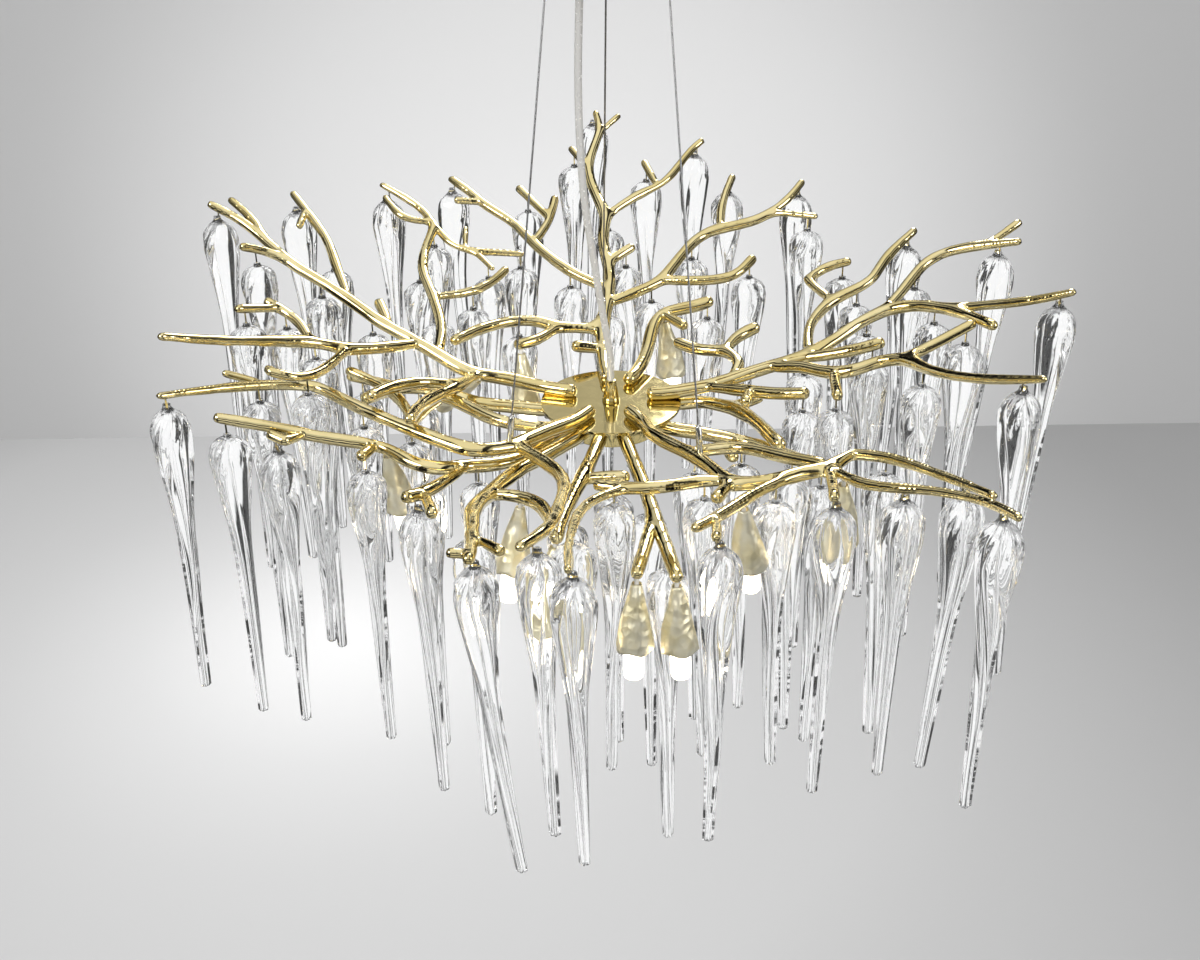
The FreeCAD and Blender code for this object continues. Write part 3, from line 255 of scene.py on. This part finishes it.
def emboss(material, shader, texture, output, strength, distance):
    """Raises the surface by a texture's output."""
    bump = material.node_tree.nodes.new("ShaderNodeBump")
    bump.inputs["Strength"].default_value = strength
    bump.inputs["Distance"].default_value = distance
    material.node_tree.links.new(texture.outputs[output], bump.inputs["Height"])
    material.node_tree.links.new(bump.outputs["Normal"], shader.inputs["Normal"])


def branch_gold():
    """Polished pale gold with slow changes of tone and gloss."""
    material, shader = new_material("branch_gold", (0.80, 0.67, 0.32), 1.0, 0.12)
    wide = add_noise(material, 26.0)
    patches = add_noise(material, 70.0, 1.0)
    tint(material, shader, wide, (0.74, 0.61, 0.28), (0.88, 0.76, 0.42))
    vary(material, shader, "Roughness", patches, 0.08, 0.14)
    return material


def plate_gold():
    """Mirror plating with faint polishing marks."""
    material, shader = new_material("plate_gold", (0.69, 0.58, 0.26), 1.0, 0.08)
    fine = add_noise(material, 90.0, 5.0)
    tint(material, shader, fine, (0.66, 0.55, 0.25), (0.72, 0.60, 0.28))
    vary(material, shader, "Roughness", fine, 0.05, 0.12)
    return material


def hammered_gold():
    """Thin crumpled metal leaf, all folds and small dents."""
    material, shader = new_material("hammered_gold", (0.90, 0.82, 0.56), 0.75, 0.38)
    place = material.node_tree.nodes.new("ShaderNodeTexCoord")
    cells = material.node_tree.nodes.new("ShaderNodeTexVoronoi")
    cells.inputs["Scale"].default_value = 130.0
    material.node_tree.links.new(place.outputs["Object"], cells.inputs["Vector"])
    emboss(material, shader, cells, "Distance", 0.80, 0.0016)
    tint(material, shader, add_noise(material, 60.0), (0.88, 0.79, 0.50), (0.98, 0.93, 0.74))
    return material


def steel(name, colour, roughness, scale):
    """Bright metal whose gloss changes a little over a fine grain."""
    material, shader = new_material(name, colour, 1.0, roughness)
    fine = add_noise(material, scale, 4.0)
    vary(material, shader, "Roughness", fine, roughness * 0.7, roughness * 1.4)
    return material


def clear_glass():
    """Clear glass with a faint haze in places."""
    material, shader = new_material("drop_glass", (0.992, 0.996, 0.998), 0.0, 0.0)
    shader.inputs["Transmission Weight"].default_value = 0.97
    shader.inputs["IOR"].default_value = 1.45
    haze = add_noise(material, 35.0, 2.0)
    vary(material, shader, "Roughness", haze, 0.0, 0.02)
    return material


def clear_plastic():
    """The cord's clear sleeve over its pale cores: milky."""
    material, shader = new_material("clear_plastic", (0.80, 0.79, 0.77), 0.0, 0.2)
    shader.inputs["Transmission Weight"].default_value = 0.35
    shader.inputs["IOR"].default_value = 1.45
    fine = add_noise(material, 300.0)
    vary(material, shader, "Roughness", fine, 0.15, 0.3)
    return material


def frosted_glow():
    """Frosted lamp glass with its light on."""
    material, shader = new_material("lamp_glass", (1.0, 0.96, 0.88), 0.0, 0.45)
    shader.inputs["Emission Color"].default_value = (1.0, 0.88, 0.68, 1.0)
    shader.inputs["Emission Strength"].default_value = 4.0
    shader.inputs["Transmission Weight"].default_value = 0.2
    frost = add_noise(material, 500.0)
    vary(material, shader, "Roughness", frost, 0.35, 0.55)
    return material


def matte(name, colour, roughness):
    """A dull surface with a fine grain."""
    material, shader = new_material(name, colour, 0.0, roughness)
    grain = add_noise(material, 600.0, 2.0)
    tint(material, shader, grain, tuple(c * 0.96 for c in colour), colour)
    emboss(material, shader, grain, "Fac", 0.1, 0.0003)
    return material


GOLD = branch_gold()
PLATE = plate_gold()
HAMMERED = hammered_gold()
BRIGHT = steel("screw_steel", (0.75, 0.74, 0.70), 0.18, 400.0)
ZINC = steel("zinc_steel", (0.60, 0.60, 0.58), 0.35, 300.0)
WIRE = steel("wire_steel", (0.30, 0.30, 0.30), 0.30, 900.0)
GLASS = clear_glass()
CLEAR = clear_plastic()
GLOW = frosted_glow()
CERAMIC = matte("lamp_ceramic", (0.86, 0.84, 0.79), 0.4)
BLOCK = matte("block_plastic", (0.80, 0.80, 0.76), 0.5)


# ---------------------------------------------------------------- cord and wires
def spline(name, points, radius, material):
    """A round cable along a smooth curve through a route's control points."""
    curve = bpy.data.curves.new(name, "CURVE")
    curve.dimensions = "3D"
    curve.bevel_depth = radius
    curve.bevel_resolution = 4
    curve.use_fill_caps = True
    curve.resolution_u = 16
    line = curve.splines.new("NURBS")
    line.points.add(len(points) - 1)
    for knot, point in zip(line.points, points):
        knot.co = (*point, 1.0)
    line.order_u = 3
    line.use_endpoint_u = True
    curve.materials.append(material)
    cable = bpy.data.objects.new(name, curve)
    scene.collection.objects.link(cable)
    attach(cable, ROOT)
    return cable


# The same route as in the part: (right, height) of each point, in metres.
CORD_ROUTE = [(-0.0200, -0.0440), (-0.0228, -0.1000), (-0.0232, -0.1600), (-0.0205, -0.2200),
              (-0.0135, -0.2680), (-0.0080, -0.3080), (-0.0035, -0.3360), (0.0, -0.3600),
              (0.0, -0.3800)]
CORD_DIAMETER = 0.006


def add_power_cord():
    """The clear cord, from its grip in the cup down to the gland on the hub."""
    points = [(x, 0.0, z) for x, z in CORD_ROUTE]
    cable = spline("clear_power_cord", points, CORD_DIAMETER / 2, CLEAR)
    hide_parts("power_cord")


WIRE_DIAMETER = 0.0015
WIRE_ENDS = {
    "back": ((0.0, 0.0520, -0.0453), (-0.0051, 0.1167, -0.3547)),
    "left": ((-0.0450, -0.0260, -0.0453), (-0.0787, -0.1097, -0.3570)),
    "right": ((0.0450, -0.0260, -0.0453), (0.0654, -0.1382, -0.3528)),
}


def add_wires():
    """The three taut wires, from their grippers to the couplings on the branches."""
    for side, (top, foot) in WIRE_ENDS.items():
        top = Vector(top)
        foot = Vector(foot)
        cable = spline("steel_wire_" + side, [top, (top + foot) / 2, foot], WIRE_DIAMETER / 2,
                       WIRE)
        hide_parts("suspension_wires")


add_power_cord()
add_wires()


# ---------------------------------------------------------------- branches
BRANCHES = ["bough_left", "bough_right", "bough_back_right", "bough_back", "bough_front_left",
            "bough_front_right", "lower_left", "lower_front_left", "lower_front",
            "lower_lamp_left", "lower_lamp_right", "lower_right", "lower_front_right"]
FLAT_ANGLE = math.radians(3)
END_ANGLE = math.radians(70)
END_HOLD = 1.2 * MM
VOXEL = 0.8 * MM
SWELL = 1.7 * MM
SMOOTHINGS = 76
KNOB_HEIGHT = 1.4 * MM
KNOBS = bpy.data.textures.new("cast_knobs", "CLOUDS")
KNOBS.noise_scale = 0.030
KNOBS.noise_depth = 1


def weld(piece):
    """Joins the CAD mesh's faces along their edges."""
    joined = piece.modifiers.new("weld", "WELD")
    joined.merge_threshold = SAME_POINT


def soften(piece):
    """Rounds a cast branch: flowing bends between held ends, then even quads, swelled, smoothed
    back to thickness and left uneven."""
    weld(piece)
    merge = piece.modifiers.new("flats", "DECIMATE")
    merge.decimate_type = "DISSOLVE"
    merge.angle_limit = FLAT_ANGLE
    hold = piece.modifiers.new("held_ends", "BEVEL")
    hold.width = END_HOLD
    hold.segments = 1
    hold.limit_method = "ANGLE"
    hold.angle_limit = END_ANGLE
    flow = piece.modifiers.new("flow", "SUBSURF")
    flow.levels = 2
    flow.render_levels = 2
    remesh = piece.modifiers.new("even", "REMESH")
    remesh.mode = "VOXEL"
    remesh.voxel_size = VOXEL
    remesh.use_smooth_shade = True
    swell = piece.modifiers.new("swell", "DISPLACE")
    swell.mid_level = 0.0
    swell.strength = SWELL
    smooth = piece.modifiers.new("smooth", "SMOOTH")
    smooth.factor = 0.5
    smooth.iterations = SMOOTHINGS
    uneven = piece.modifiers.new("uneven", "DISPLACE")
    uneven.texture = KNOBS
    uneven.texture_coords = "GLOBAL"
    uneven.mid_level = 0.5
    uneven.strength = KNOB_HEIGHT


def paint(node, material):
    """Gives a CAD node its material in place of the plain one."""
    slots = NODES[node].data.materials
    slots.clear()
    slots.append(material)


for branch in BRANCHES:
    paint(branch, GOLD)
    soften(NODES[branch])


# ---------------------------------------------------------------- glass drops
LOBE_POINTS = 9
DROP_STEPS = 52
NECK_RADIUS = 3.0 * MM
NECK_LENGTH = 3.0 * MM
NECK_FOOT = 3.4 * MM
FOOT_TAPER = 12 * MM
# The rings that round off a tail's end: (share of its width, how far below it).
TAIL_END = ((0.80, 1.4 * MM), (0.45, 2.4 * MM), (0.12, 2.8 * MM))
# The creases at the shoulder: how far down and over what length, their depth as a share of the
# radius, and how fast they wind.
CREASE_PLACE = 16 * MM
CREASE_SPAN = 26 * MM
CREASE_DEPTH = 0.035
CREASE_TURN = 260


def curve_value(keys, at):
    """A value on a smooth curve through (place, value) keys."""
    last = len(keys) - 1
    index = 0
    while index < last - 1 and at > keys[index + 1][0]:
        index += 1
    x0, y0 = keys[index]
    x1, y1 = keys[index + 1]
    before = keys[max(index - 1, 0)]
    after = keys[min(index + 2, last)]
    span = x1 - x0
    share = min(max((at - x0) / span, 0.0), 1.0)
    rise0 = (y1 - before[1]) / (x1 - before[0]) * span
    rise1 = (after[1] - y0) / (after[0] - x0) * span
    square = share * share
    cube = square * share
    return ((2 * cube - 3 * square + 1) * y0 + (cube - 2 * square + share) * rise0
            + (3 * square - 2 * cube) * y1 + (cube - square) * rise1)


# How deep the valleys are, as a share of the radius, at a depth below the top in metres.
FLUTE_DEPTH = [(0.0, 0.0), (0.006, 0.08), (0.016, 0.15), (0.036, 0.17), (0.075, 0.28),
               (0.120, 0.40), (0.200, 0.46), (0.300, 0.40)]


def flutes(chance):
    """The lobes of one drop: how strong each is, where they start and how they wind."""
    count = chance.choice((5, 6, 6, 7, 7))
    return {
        "strengths": [chance.uniform(0.72, 1.0) for _ in range(count)],
        "start": chance.uniform(0, 2 * math.pi),
        "twist": chance.uniform(-0.9, 0.9),
        "sway": chance.uniform(-0.35, 0.35),
        "crease": chance.uniform(0, 2 * math.pi),
    }


def fluted_ring(lobes, centre, radius, depth, share):
    """One ring of a drop: round lobes with sharp valleys, which run down the glass as clean lines,
    and a few creases at the shoulder."""
    count = len(lobes["strengths"])
    deep = curve_value(FLUTE_DEPTH, depth)
    fade = max(0.0, 1 - abs(depth - CREASE_PLACE) / CREASE_SPAN)
    ring = []
    for index in range(count * LOBE_POINTS):
        lobe, step = divmod(index, LOBE_POINTS)
        around = 2 * math.pi * index / (count * LOBE_POINTS)
        turn = around + lobes["start"] + lobes["twist"] * share
        turn += lobes["sway"] * math.sin(around + 9 * share)
        bump = math.sin(math.pi * step / LOBE_POINTS) ** 0.7 * lobes["strengths"][lobe]
        wave = math.sin(2 * count * around + CREASE_TURN * depth + lobes["crease"])
        crease = CREASE_DEPTH * fade * wave
        reach = radius * (1 - deep + deep * bump + crease)
        ring.append(centre + Vector((reach * math.cos(turn), reach * math.sin(turn), 0)))
    return ring


def drop_rings(points, chance):
    """A drawn glass drop on a CAD drop: neck, creased shoulder, lobed head and fluted tail."""
    rows = levels(points)
    (tip, end), (waist, narrow), (belly, wide), (shoulder, _) = rows[:4]
    top = rows[-1][0].z
    to_shoulder, to_belly, to_waist, total = [top - row.z for row in (shoulder, belly, waist, tip)]
    keys = [(0.0, NECK_RADIUS), (NECK_LENGTH, NECK_FOOT), (0.35 * to_shoulder, 0.36 * wide),
            (0.6 * to_shoulder, 0.68 * wide), (to_shoulder, 0.92 * wide),
            (0.6 * to_shoulder + 0.4 * to_belly, wide), (to_belly, 0.98 * wide),
            (0.5 * (to_belly + to_waist), 0.74 * wide),
            (to_waist, 1.02 * narrow), (0.45 * (to_waist + total), 0.80 * narrow),
            (total - FOOT_TAPER, 1.18 * end), (total, 1.12 * end)]
    lean = Vector((tip.x - shoulder.x, tip.y - shoulder.y, 0.0))
    lobes = flutes(chance)
    rings = []
    for step in range(DROP_STEPS + 1):
        share = step / DROP_STEPS
        depth = total * share ** 1.3
        radius = curve_value(keys, depth)
        shift = max(0.0, (depth - to_belly) / (total - to_belly)) ** 1.3
        centre = Vector((shoulder.x, shoulder.y, top - depth)) + lean * shift
        rings.append(fluted_ring(lobes, centre, radius, depth, share))
    last = rings[-1]
    centre = sum(last, Vector()) / len(last)
    for size, fall in TAIL_END:
        rings.append([centre + (point - centre) * size - Vector((0, 0, fall)) for point in last])
    return rings


def glass_piece(node, body):
    """All drops of a CAD node, drawn as one glass piece."""
    bm = bmesh.new()
    for points in islands(node):
        across, back = corner(points)
        chance = random.Random(across * 1009 + back)
        add_rings(bm, drop_rings(points, chance))
    piece = make_object("glass_" + node, mesh_of(bm, "glass_" + node), GLASS, body)
    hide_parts(node)


# Each swinging drop's body has the same name as its node.
for body in frame["bodies"]:
    if body != ROOT:
        glass_piece(body, body)
for group in ("fixed_drops_left", "fixed_drops_back", "fixed_drops_right", "fixed_drops_front"):
    glass_piece(group, ROOT)

# ---------------------------------------------------------------- lamps
SHADE_LENGTH = 52 * MM
SHADE_TOP = 3.6 * MM
SHADE_MOUTH = 14 * MM
SHADE_SHEET = 0.6 * MM
SHADE_STEPS = 26
SHADE_SIDES = 48
FOLD_DEPTH = 0.50 * MM
DENT_DEPTH = 0.18 * MM
LIP_WAVE = 1.2 * MM
TURN_LIMIT = 6.28
LAMP_SIDES = 24


def lamp_places():
    """Where each cone shade is: the middle of its top and the way its mouth points."""
    places = []
    for points in islands("lamp_shades"):
        middle = sum(points, Vector()) / len(points)
        far = max(points, key=lambda point: (point - middle).length)
        mouth = [point for point in points if (point - far).length < 2.1 * SHADE_MOUTH]
        others = [point for point in points if (point - far).length >= 2.1 * SHADE_MOUTH]
        mouth_middle = sum(mouth, Vector()) / len(mouth)
        top_middle = sum(others, Vector()) / len(others)
        places.append((top_middle, (mouth_middle - top_middle).normalized()))
    return places


def hammered_rings(place, chance):
    """A cone shade of crumpled sheet: outside down to the mouth, and back up inside."""
    rings = []
    first = chance.uniform(0, TURN_LIMIT)
    second = chance.uniform(0, TURN_LIMIT)
    dents = [[chance.uniform(-1, 1) for _ in range(SHADE_SIDES)] for _ in range(SHADE_STEPS + 1)]
    for side in (0, 1):
        for step in range(SHADE_STEPS + 1):
            level = SHADE_STEPS - step if side else step
            share = level / SHADE_STEPS
            bulge = 1.0 + 0.12 * math.sin(math.pi * share)
            base = (SHADE_TOP + (SHADE_MOUTH - SHADE_TOP) * share) * bulge
            ring = []
            for index in range(SHADE_SIDES):
                turn = 2 * math.pi * index / SHADE_SIDES
                fold = math.sin(3 * turn + first + 5 * share)
                fold += 0.6 * math.sin(5 * turn + second - 7 * share)
                dent = FOLD_DEPTH * fold + DENT_DEPTH * dents[level][index]
                reach = base + dent * min(1.0, 3 * share) - side * SHADE_SHEET
                height = SHADE_LENGTH * share + 0.7 * MM * side * (1 - share)
                height += LIP_WAVE * share ** 4 * math.sin(4 * turn + second)
                ring.append(place @ Vector((reach * math.cos(turn), reach * math.sin(turn), height)))
            rings.append(ring)
    return rings


def add_lamps():
    """All ten shades, their sockets and capsules, as one piece for each node."""
    shades = bmesh.new()
    sockets = bmesh.new()
    capsules = bmesh.new()
    socket = rounded([(0.0, -0.008), (0.0017, -0.008), (0.0017, 0.030), (0.0064, 0.032),
                      (0.0064, 0.050), (0.0, 0.050)], 0.0008)
    capsule = rounded([(0.0, 0.050), (0.0070, 0.050), (0.0075, 0.054), (0.0075, 0.073),
                       (0.0068, 0.0765), (0.0, 0.078)], 0.002)
    for number, (top, away) in enumerate(lamp_places()):
        place = standing(top, away)
        add_rings(shades, hammered_rings(place, random.Random(number)), closed=True)
        add_rings(sockets, turned_rings(socket, place, LAMP_SIDES))
        add_rings(capsules, turned_rings(capsule, place, LAMP_SIDES))
    for bm, name, material, slot in ((shades, "lamp_shades", HAMMERED, "hammered_gold"),
                                     (sockets, "lamp_sockets", CERAMIC, "lamp_ceramic"),
                                     (capsules, "lamp_capsules", GLOW, "lamp_glass")):
        piece = make_object("dressed_" + name, mesh_of(bm, name), material)
        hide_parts(name)


add_lamps()

# ---------------------------------------------------------------- hub, cup and fittings
for node, material in (("hub_plate", PLATE), ("ceiling_bracket", ZINC), ("canopy_screws", BRIGHT),
                       ("terminal_block", BLOCK), ("bough_screws", BRIGHT),
                       ("hub_nipple", ZINC), ("drop_hooks", GOLD)):
    paint(node, material)


def ease_edges(piece, width):
    """Narrow bevels on the sharp edges of a CAD node."""
    weld(piece)
    bevel = piece.modifiers.new("bevel", "BEVEL")
    bevel.width = width
    bevel.segments = 2
    bevel.limit_method = "ANGLE"
    bevel.angle_limit = math.radians(50)


for node, width in (("hub_plate", 0.5 * MM), ("ceiling_bracket", 0.3 * MM),
                    ("terminal_block", 0.6 * MM)):
    ease_edges(NODES[node], width)


def turned_piece(name, node, parts, material, count=40):
    """A round piece that stands for a flat-sided CAD one: (profile, placement) parts."""
    bm = bmesh.new()
    for profile, place in parts:
        add_rings(bm, turned_rings(profile, place, count))
    piece = make_object(name, mesh_of(bm, name), material)
    crisp = piece.modifiers.new("edges", "EDGE_SPLIT")
    crisp.split_angle = math.radians(40)
    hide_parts(node)


def add_fittings():
    """Round pieces for the flat-sided solids of cup, drum, cord, wires and hub."""
    gland = rounded([(0.0, 0.0), (0.0075, 0.0), (0.0075, 0.003), (0.0066, 0.0042),
                     (0.0058, 0.010), (0.0042, 0.020), (0.0, 0.020)], 0.0006)
    nut = rounded([(0.0, 0.0), (0.007, 0.0), (0.009, 0.002), (0.009, 0.006), (0.0, 0.006)], 0.0005)
    grip = rounded([(0.0, 0.0), (0.0046, 0.0), (0.007, 0.0084), (0.007, 0.014), (0.005, 0.014),
                    (0.005, 0.0205), (0.0, 0.0205)], 0.0005)
    gripper = rounded([(0.0, 0.0), (0.003, 0.0), (0.005, 0.002), (0.005, 0.015), (0.003, 0.015),
                       (0.003, 0.0167), (0.0045, 0.0167), (0.0045, 0.0196), (0.0, 0.0196)], 0.0004)
    coupling = rounded([(0.0, 0.004), (0.0026, 0.004), (0.0026, 0.0243), (0.0014, 0.0258),
                        (0.0, 0.0258)], 0.0004)
    cup = rounded([(0.0, -0.030), (0.065, -0.030), (0.065, 0.0), (0.0635, 0.0),
                   (0.0635, -0.0285), (0.0, -0.0285)], 0.0007)
    drum = rounded([(0.0, 0.0), (0.043, 0.0), (0.043, 0.020), (0.0, 0.020)], 0.0008)
    drum_foot = PLATE_TOP - 0.023
    turned_piece("cup_round", "canopy_cup", [(cup, standing((0, 0, 0)))], PLATE, 120)
    turned_piece("drum_round", "hub_drum", [(drum, standing((0, 0, drum_foot)))], PLATE, 96)
    turned_piece("gland_round", "cord_gland", [(gland, standing((0, 0, PLATE_TOP)))], PLATE)
    turned_piece("nut_round", "hub_nut", [(nut, standing((0, 0, drum_foot - 0.006)))], PLATE)
    turned_piece("grip_round", "cord_grip", [(grip, standing((-0.020, 0, -0.044)))], CLEAR)
    tops = []
    feet = []
    for top, foot in WIRE_ENDS.values():
        course = (Vector(top) - Vector(foot)).normalized()
        tops.append((gripper, standing((top[0], top[1], -0.045))))
        feet.append((coupling, standing(Vector(foot) - course * 0.0258, course)))
    turned_piece("grippers_round", "wire_grippers", tops, BRIGHT)
    turned_piece("couplings_round", "wire_couplings", feet, BRIGHT)


add_fittings()

# ---------------------------------------------------------------- room and light
WALL_Y = 4.0
WALL_TOP = 5.0
FLOOR_Z = -2.53
ROOM_SIDE = 9.0
PAINT_REACH = 4.0
PALE = 0.78


def gradient(nodes, links, value, stops, run="LINEAR"):
    """A grey ramp through (place, level) stops, fed by a value between 0 and 1."""
    ramp = nodes.new("ShaderNodeValToRGB")
    ramp.color_ramp.interpolation = run
    elements = ramp.color_ramp.elements
    while len(elements) < len(stops):
        elements.new(0.5)
    for element, (place, level) in zip(elements, stops):
        element.position = place
        element.color = (level, level, level, 1.0)
    links.new(value, ramp.inputs["Fac"])
    return ramp.outputs["Color"]


def blend(nodes, links, factor, first, second):
    """The first colour, or the second where the factor is 1."""
    mixer = nodes.new("ShaderNodeMixRGB")
    links.new(factor, mixer.inputs["Fac"])
    links.new(first, mixer.inputs["Color1"])
    links.new(second, mixer.inputs["Color2"])
    return mixer.outputs["Color"]


def distance(nodes, links, centre):
    """How far a point is from a place, as a share of PAINT_REACH."""
    place = nodes.new("ShaderNodeTexCoord")
    centred = nodes.new("ShaderNodeMapping")
    centred.inputs["Location"].default_value = tuple(-c / PAINT_REACH for c in centre)
    centred.inputs["Scale"].default_value = (1 / PAINT_REACH,) * 3
    links.new(place.outputs["Object"], centred.inputs["Vector"])
    reach = nodes.new("ShaderNodeVectorMath")
    reach.operation = "LENGTH"
    links.new(centred.outputs["Vector"], reach.inputs[0])
    return reach.outputs["Value"]


def room_paint_and_painted_light(name, level, centre, glows, pool_light_colours=()):
    """Grey paint with painted light round a place: a glow that only the camera sees, and a base
    colour that may brighten towards the place too, a painted pool of light. Stops are (distance as a
    share of PAINT_REACH, level)."""
    material, shader = new_material(name, (level, level, level), 0.0, 0.8)
    nodes = material.node_tree.nodes
    links = material.node_tree.links
    reach = distance(nodes, links, centre)
    # The base colour brightens towards the place: a painted pool of light.
    if pool_light_colours:
        colour = gradient(nodes, links, reach, pool_light_colours, "B_SPLINE")
        links.new(colour, shader.inputs["Base Color"])
    # A glow that only the camera sees, brightest at the place: painted light.
    path = nodes.new("ShaderNodeLightPath")
    glow = nodes.new("ShaderNodeMath")
    glow.operation = "MULTIPLY"
    links.new(gradient(nodes, links, reach, glows, "B_SPLINE"), glow.inputs[0])
    links.new(path.outputs["Is Camera Ray"], glow.inputs[1])
    shader.inputs["Emission Color"].default_value = (1.0, 1.0, 1.0, 1.0)
    links.new(glow.outputs["Value"], shader.inputs["Emission Strength"])
    return material


def add_room():
    """A pale floor with a painted pool of light, and a back wall with painted light round its
    middle, meeting where the photograph's do.
    """
    floor = [(-ROOM_SIDE, -ROOM_SIDE, FLOOR_Z), (ROOM_SIDE, -ROOM_SIDE, FLOOR_Z),
             (ROOM_SIDE, WALL_Y, FLOOR_Z), (-ROOM_SIDE, WALL_Y, FLOOR_Z)]
    wall = [(-ROOM_SIDE, WALL_Y, FLOOR_Z), (ROOM_SIDE, WALL_Y, FLOOR_Z),
            (ROOM_SIDE, WALL_Y, WALL_TOP), (-ROOM_SIDE, WALL_Y, WALL_TOP)]
    # The floor's painted pool of light: its base colour and camera-only glow are brightest round
    # this place.
    floor_painted_light = room_paint_and_painted_light("floor_painted_light", 0.46, (-0.80, 2.70, FLOOR_Z),
                             [(0.0, 0.42), (0.08, 0.37), (0.16, 0.31), (0.26, 0.25), (0.42, 0.19),
                              (0.50, 0.12), (0.60, 0.07), (0.70, 0.02)],
                             [(0.0, 0.74), (0.07, 0.68), (0.15, 0.56), (0.25, 0.48), (0.36, 0.46)])
    # The wall's painted light: its camera-only glow is brightest round this place and fades away
    # from it.
    wall_painted_light = room_paint_and_painted_light("wall_painted_light", 0.66, (-0.10, WALL_Y, -1.95),
                            [(0.0, 0.46), (0.08, 0.41), (0.18, 0.35), (0.28, 0.30), (0.38, 0.17),
                             (0.48, 0.05), (0.60, 0.03)])
    for name, corners, material in (("floor", floor, floor_painted_light), ("wall", wall, wall_painted_light)):
        mesh = bpy.data.meshes.new(name)
        mesh.from_pydata(corners, [], [(0, 1, 2, 3)])
        mesh.materials.append(material)
        side = bpy.data.objects.new(name, mesh)
        scene.collection.objects.link(side)
        side.visible_glossy = False
        side.visible_transmission = False


def area_light(name, place, size, power):
    """A round soft lamp that looks at the middle of the branches."""
    data = bpy.data.lights.new(name, "AREA")
    data.shape = "DISK"
    data.size = size
    data.energy = power
    light = bpy.data.objects.new(name, data)
    scene.collection.objects.link(light)
    course = Vector(LIGHT_AIM) - Vector(place)
    light.matrix_world = (Matrix.Translation(place)
                          @ course.to_track_quat("-Z", "Y").to_matrix().to_4x4())


LIGHT_AIM = (0, 0, -0.45)
# Grey levels of the surroundings. HEIGHT_BANDS run from straight down to straight up, and
# SIDE_BANDS and GLASS_BANDS from ahead or behind to full left or right. Metal mirrors the first
# two, and glass shows the last.
HEIGHT_BANDS = [(0.0, 0.10), (0.13, 0.55), (0.24, 0.66), (0.27, 0.0), (0.41, 0.0), (0.44, 1.0),
                (0.53, 1.0), (0.56, 0.0), (0.67, 0.01), (0.70, 0.58), (0.86, 0.64), (0.90, 1.0)]
SIDE_BANDS = [(0.0, 1.0), (0.38, 1.0), (0.43, 0.02), (0.60, 0.04), (0.65, 1.0), (0.78, 1.0),
              (0.83, 0.03), (0.95, 0.10), (1.0, 0.4)]
GLASS_BANDS = [(0.0, 1.0), (0.41, 1.0), (0.45, 0.01), (0.65, 0.02), (0.69, 1.0), (0.84, 1.0),
               (0.87, 0.02), (0.96, 0.03), (1.0, 0.4)]


def add_world():
    """Soft grey surroundings for the room, a studio's dark and bright cards for what polished
    metal and glass show, and one pale grey where the camera looks past the room."""
    world = bpy.data.worlds.new("surroundings")
    scene.world = world
    world.use_nodes = True
    nodes = world.node_tree.nodes
    links = world.node_tree.links
    place = nodes.new("ShaderNodeTexCoord")
    split = nodes.new("ShaderNodeSeparateXYZ")
    links.new(place.outputs["Generated"], split.inputs["Vector"])
    height = nodes.new("ShaderNodeMapRange")
    height.inputs["From Min"].default_value = -1.0
    links.new(split.outputs["Z"], height.inputs["Value"])
    aside = nodes.new("ShaderNodeMath")
    aside.operation = "ABSOLUTE"
    links.new(split.outputs["X"], aside.inputs[0])
    soft = gradient(nodes, links, height.outputs["Result"], [(0.30, 0.09), (0.75, 0.86)])
    bands = gradient(nodes, links, height.outputs["Result"], HEIGHT_BANDS)
    sides = gradient(nodes, links, aside.outputs["Value"], SIDE_BANDS)
    mirrored = nodes.new("ShaderNodeMixRGB")
    mirrored.blend_type = "MULTIPLY"
    mirrored.inputs["Fac"].default_value = 1.0
    links.new(bands, mirrored.inputs["Color1"])
    links.new(sides, mirrored.inputs["Color2"])
    through = gradient(nodes, links, aside.outputs["Value"], GLASS_BANDS)
    path = nodes.new("ShaderNodeLightPath")
    seen = blend(nodes, links, path.outputs["Is Glossy Ray"], soft, mirrored.outputs["Color"])
    seen = blend(nodes, links, path.outputs["Is Transmission Ray"], seen, through)
    behind = nodes.new("ShaderNodeMixRGB")
    behind.inputs["Color2"].default_value = (PALE, PALE, PALE, 1.0)
    links.new(path.outputs["Is Camera Ray"], behind.inputs["Fac"])
    links.new(seen, behind.inputs["Color1"])
    links.new(behind.outputs["Color"], nodes["Background"].inputs["Color"])
    nodes["Background"].inputs["Strength"].default_value = 1.0


add_room()
add_world()
area_light("key", (-1.6, -1.4, 0.9), 1.2, 30)
area_light("fill", (1.9, -0.9, 0.3), 1.0, 14)
area_light("back", (0.6, 2.2, 1.0), 1.0, 30)
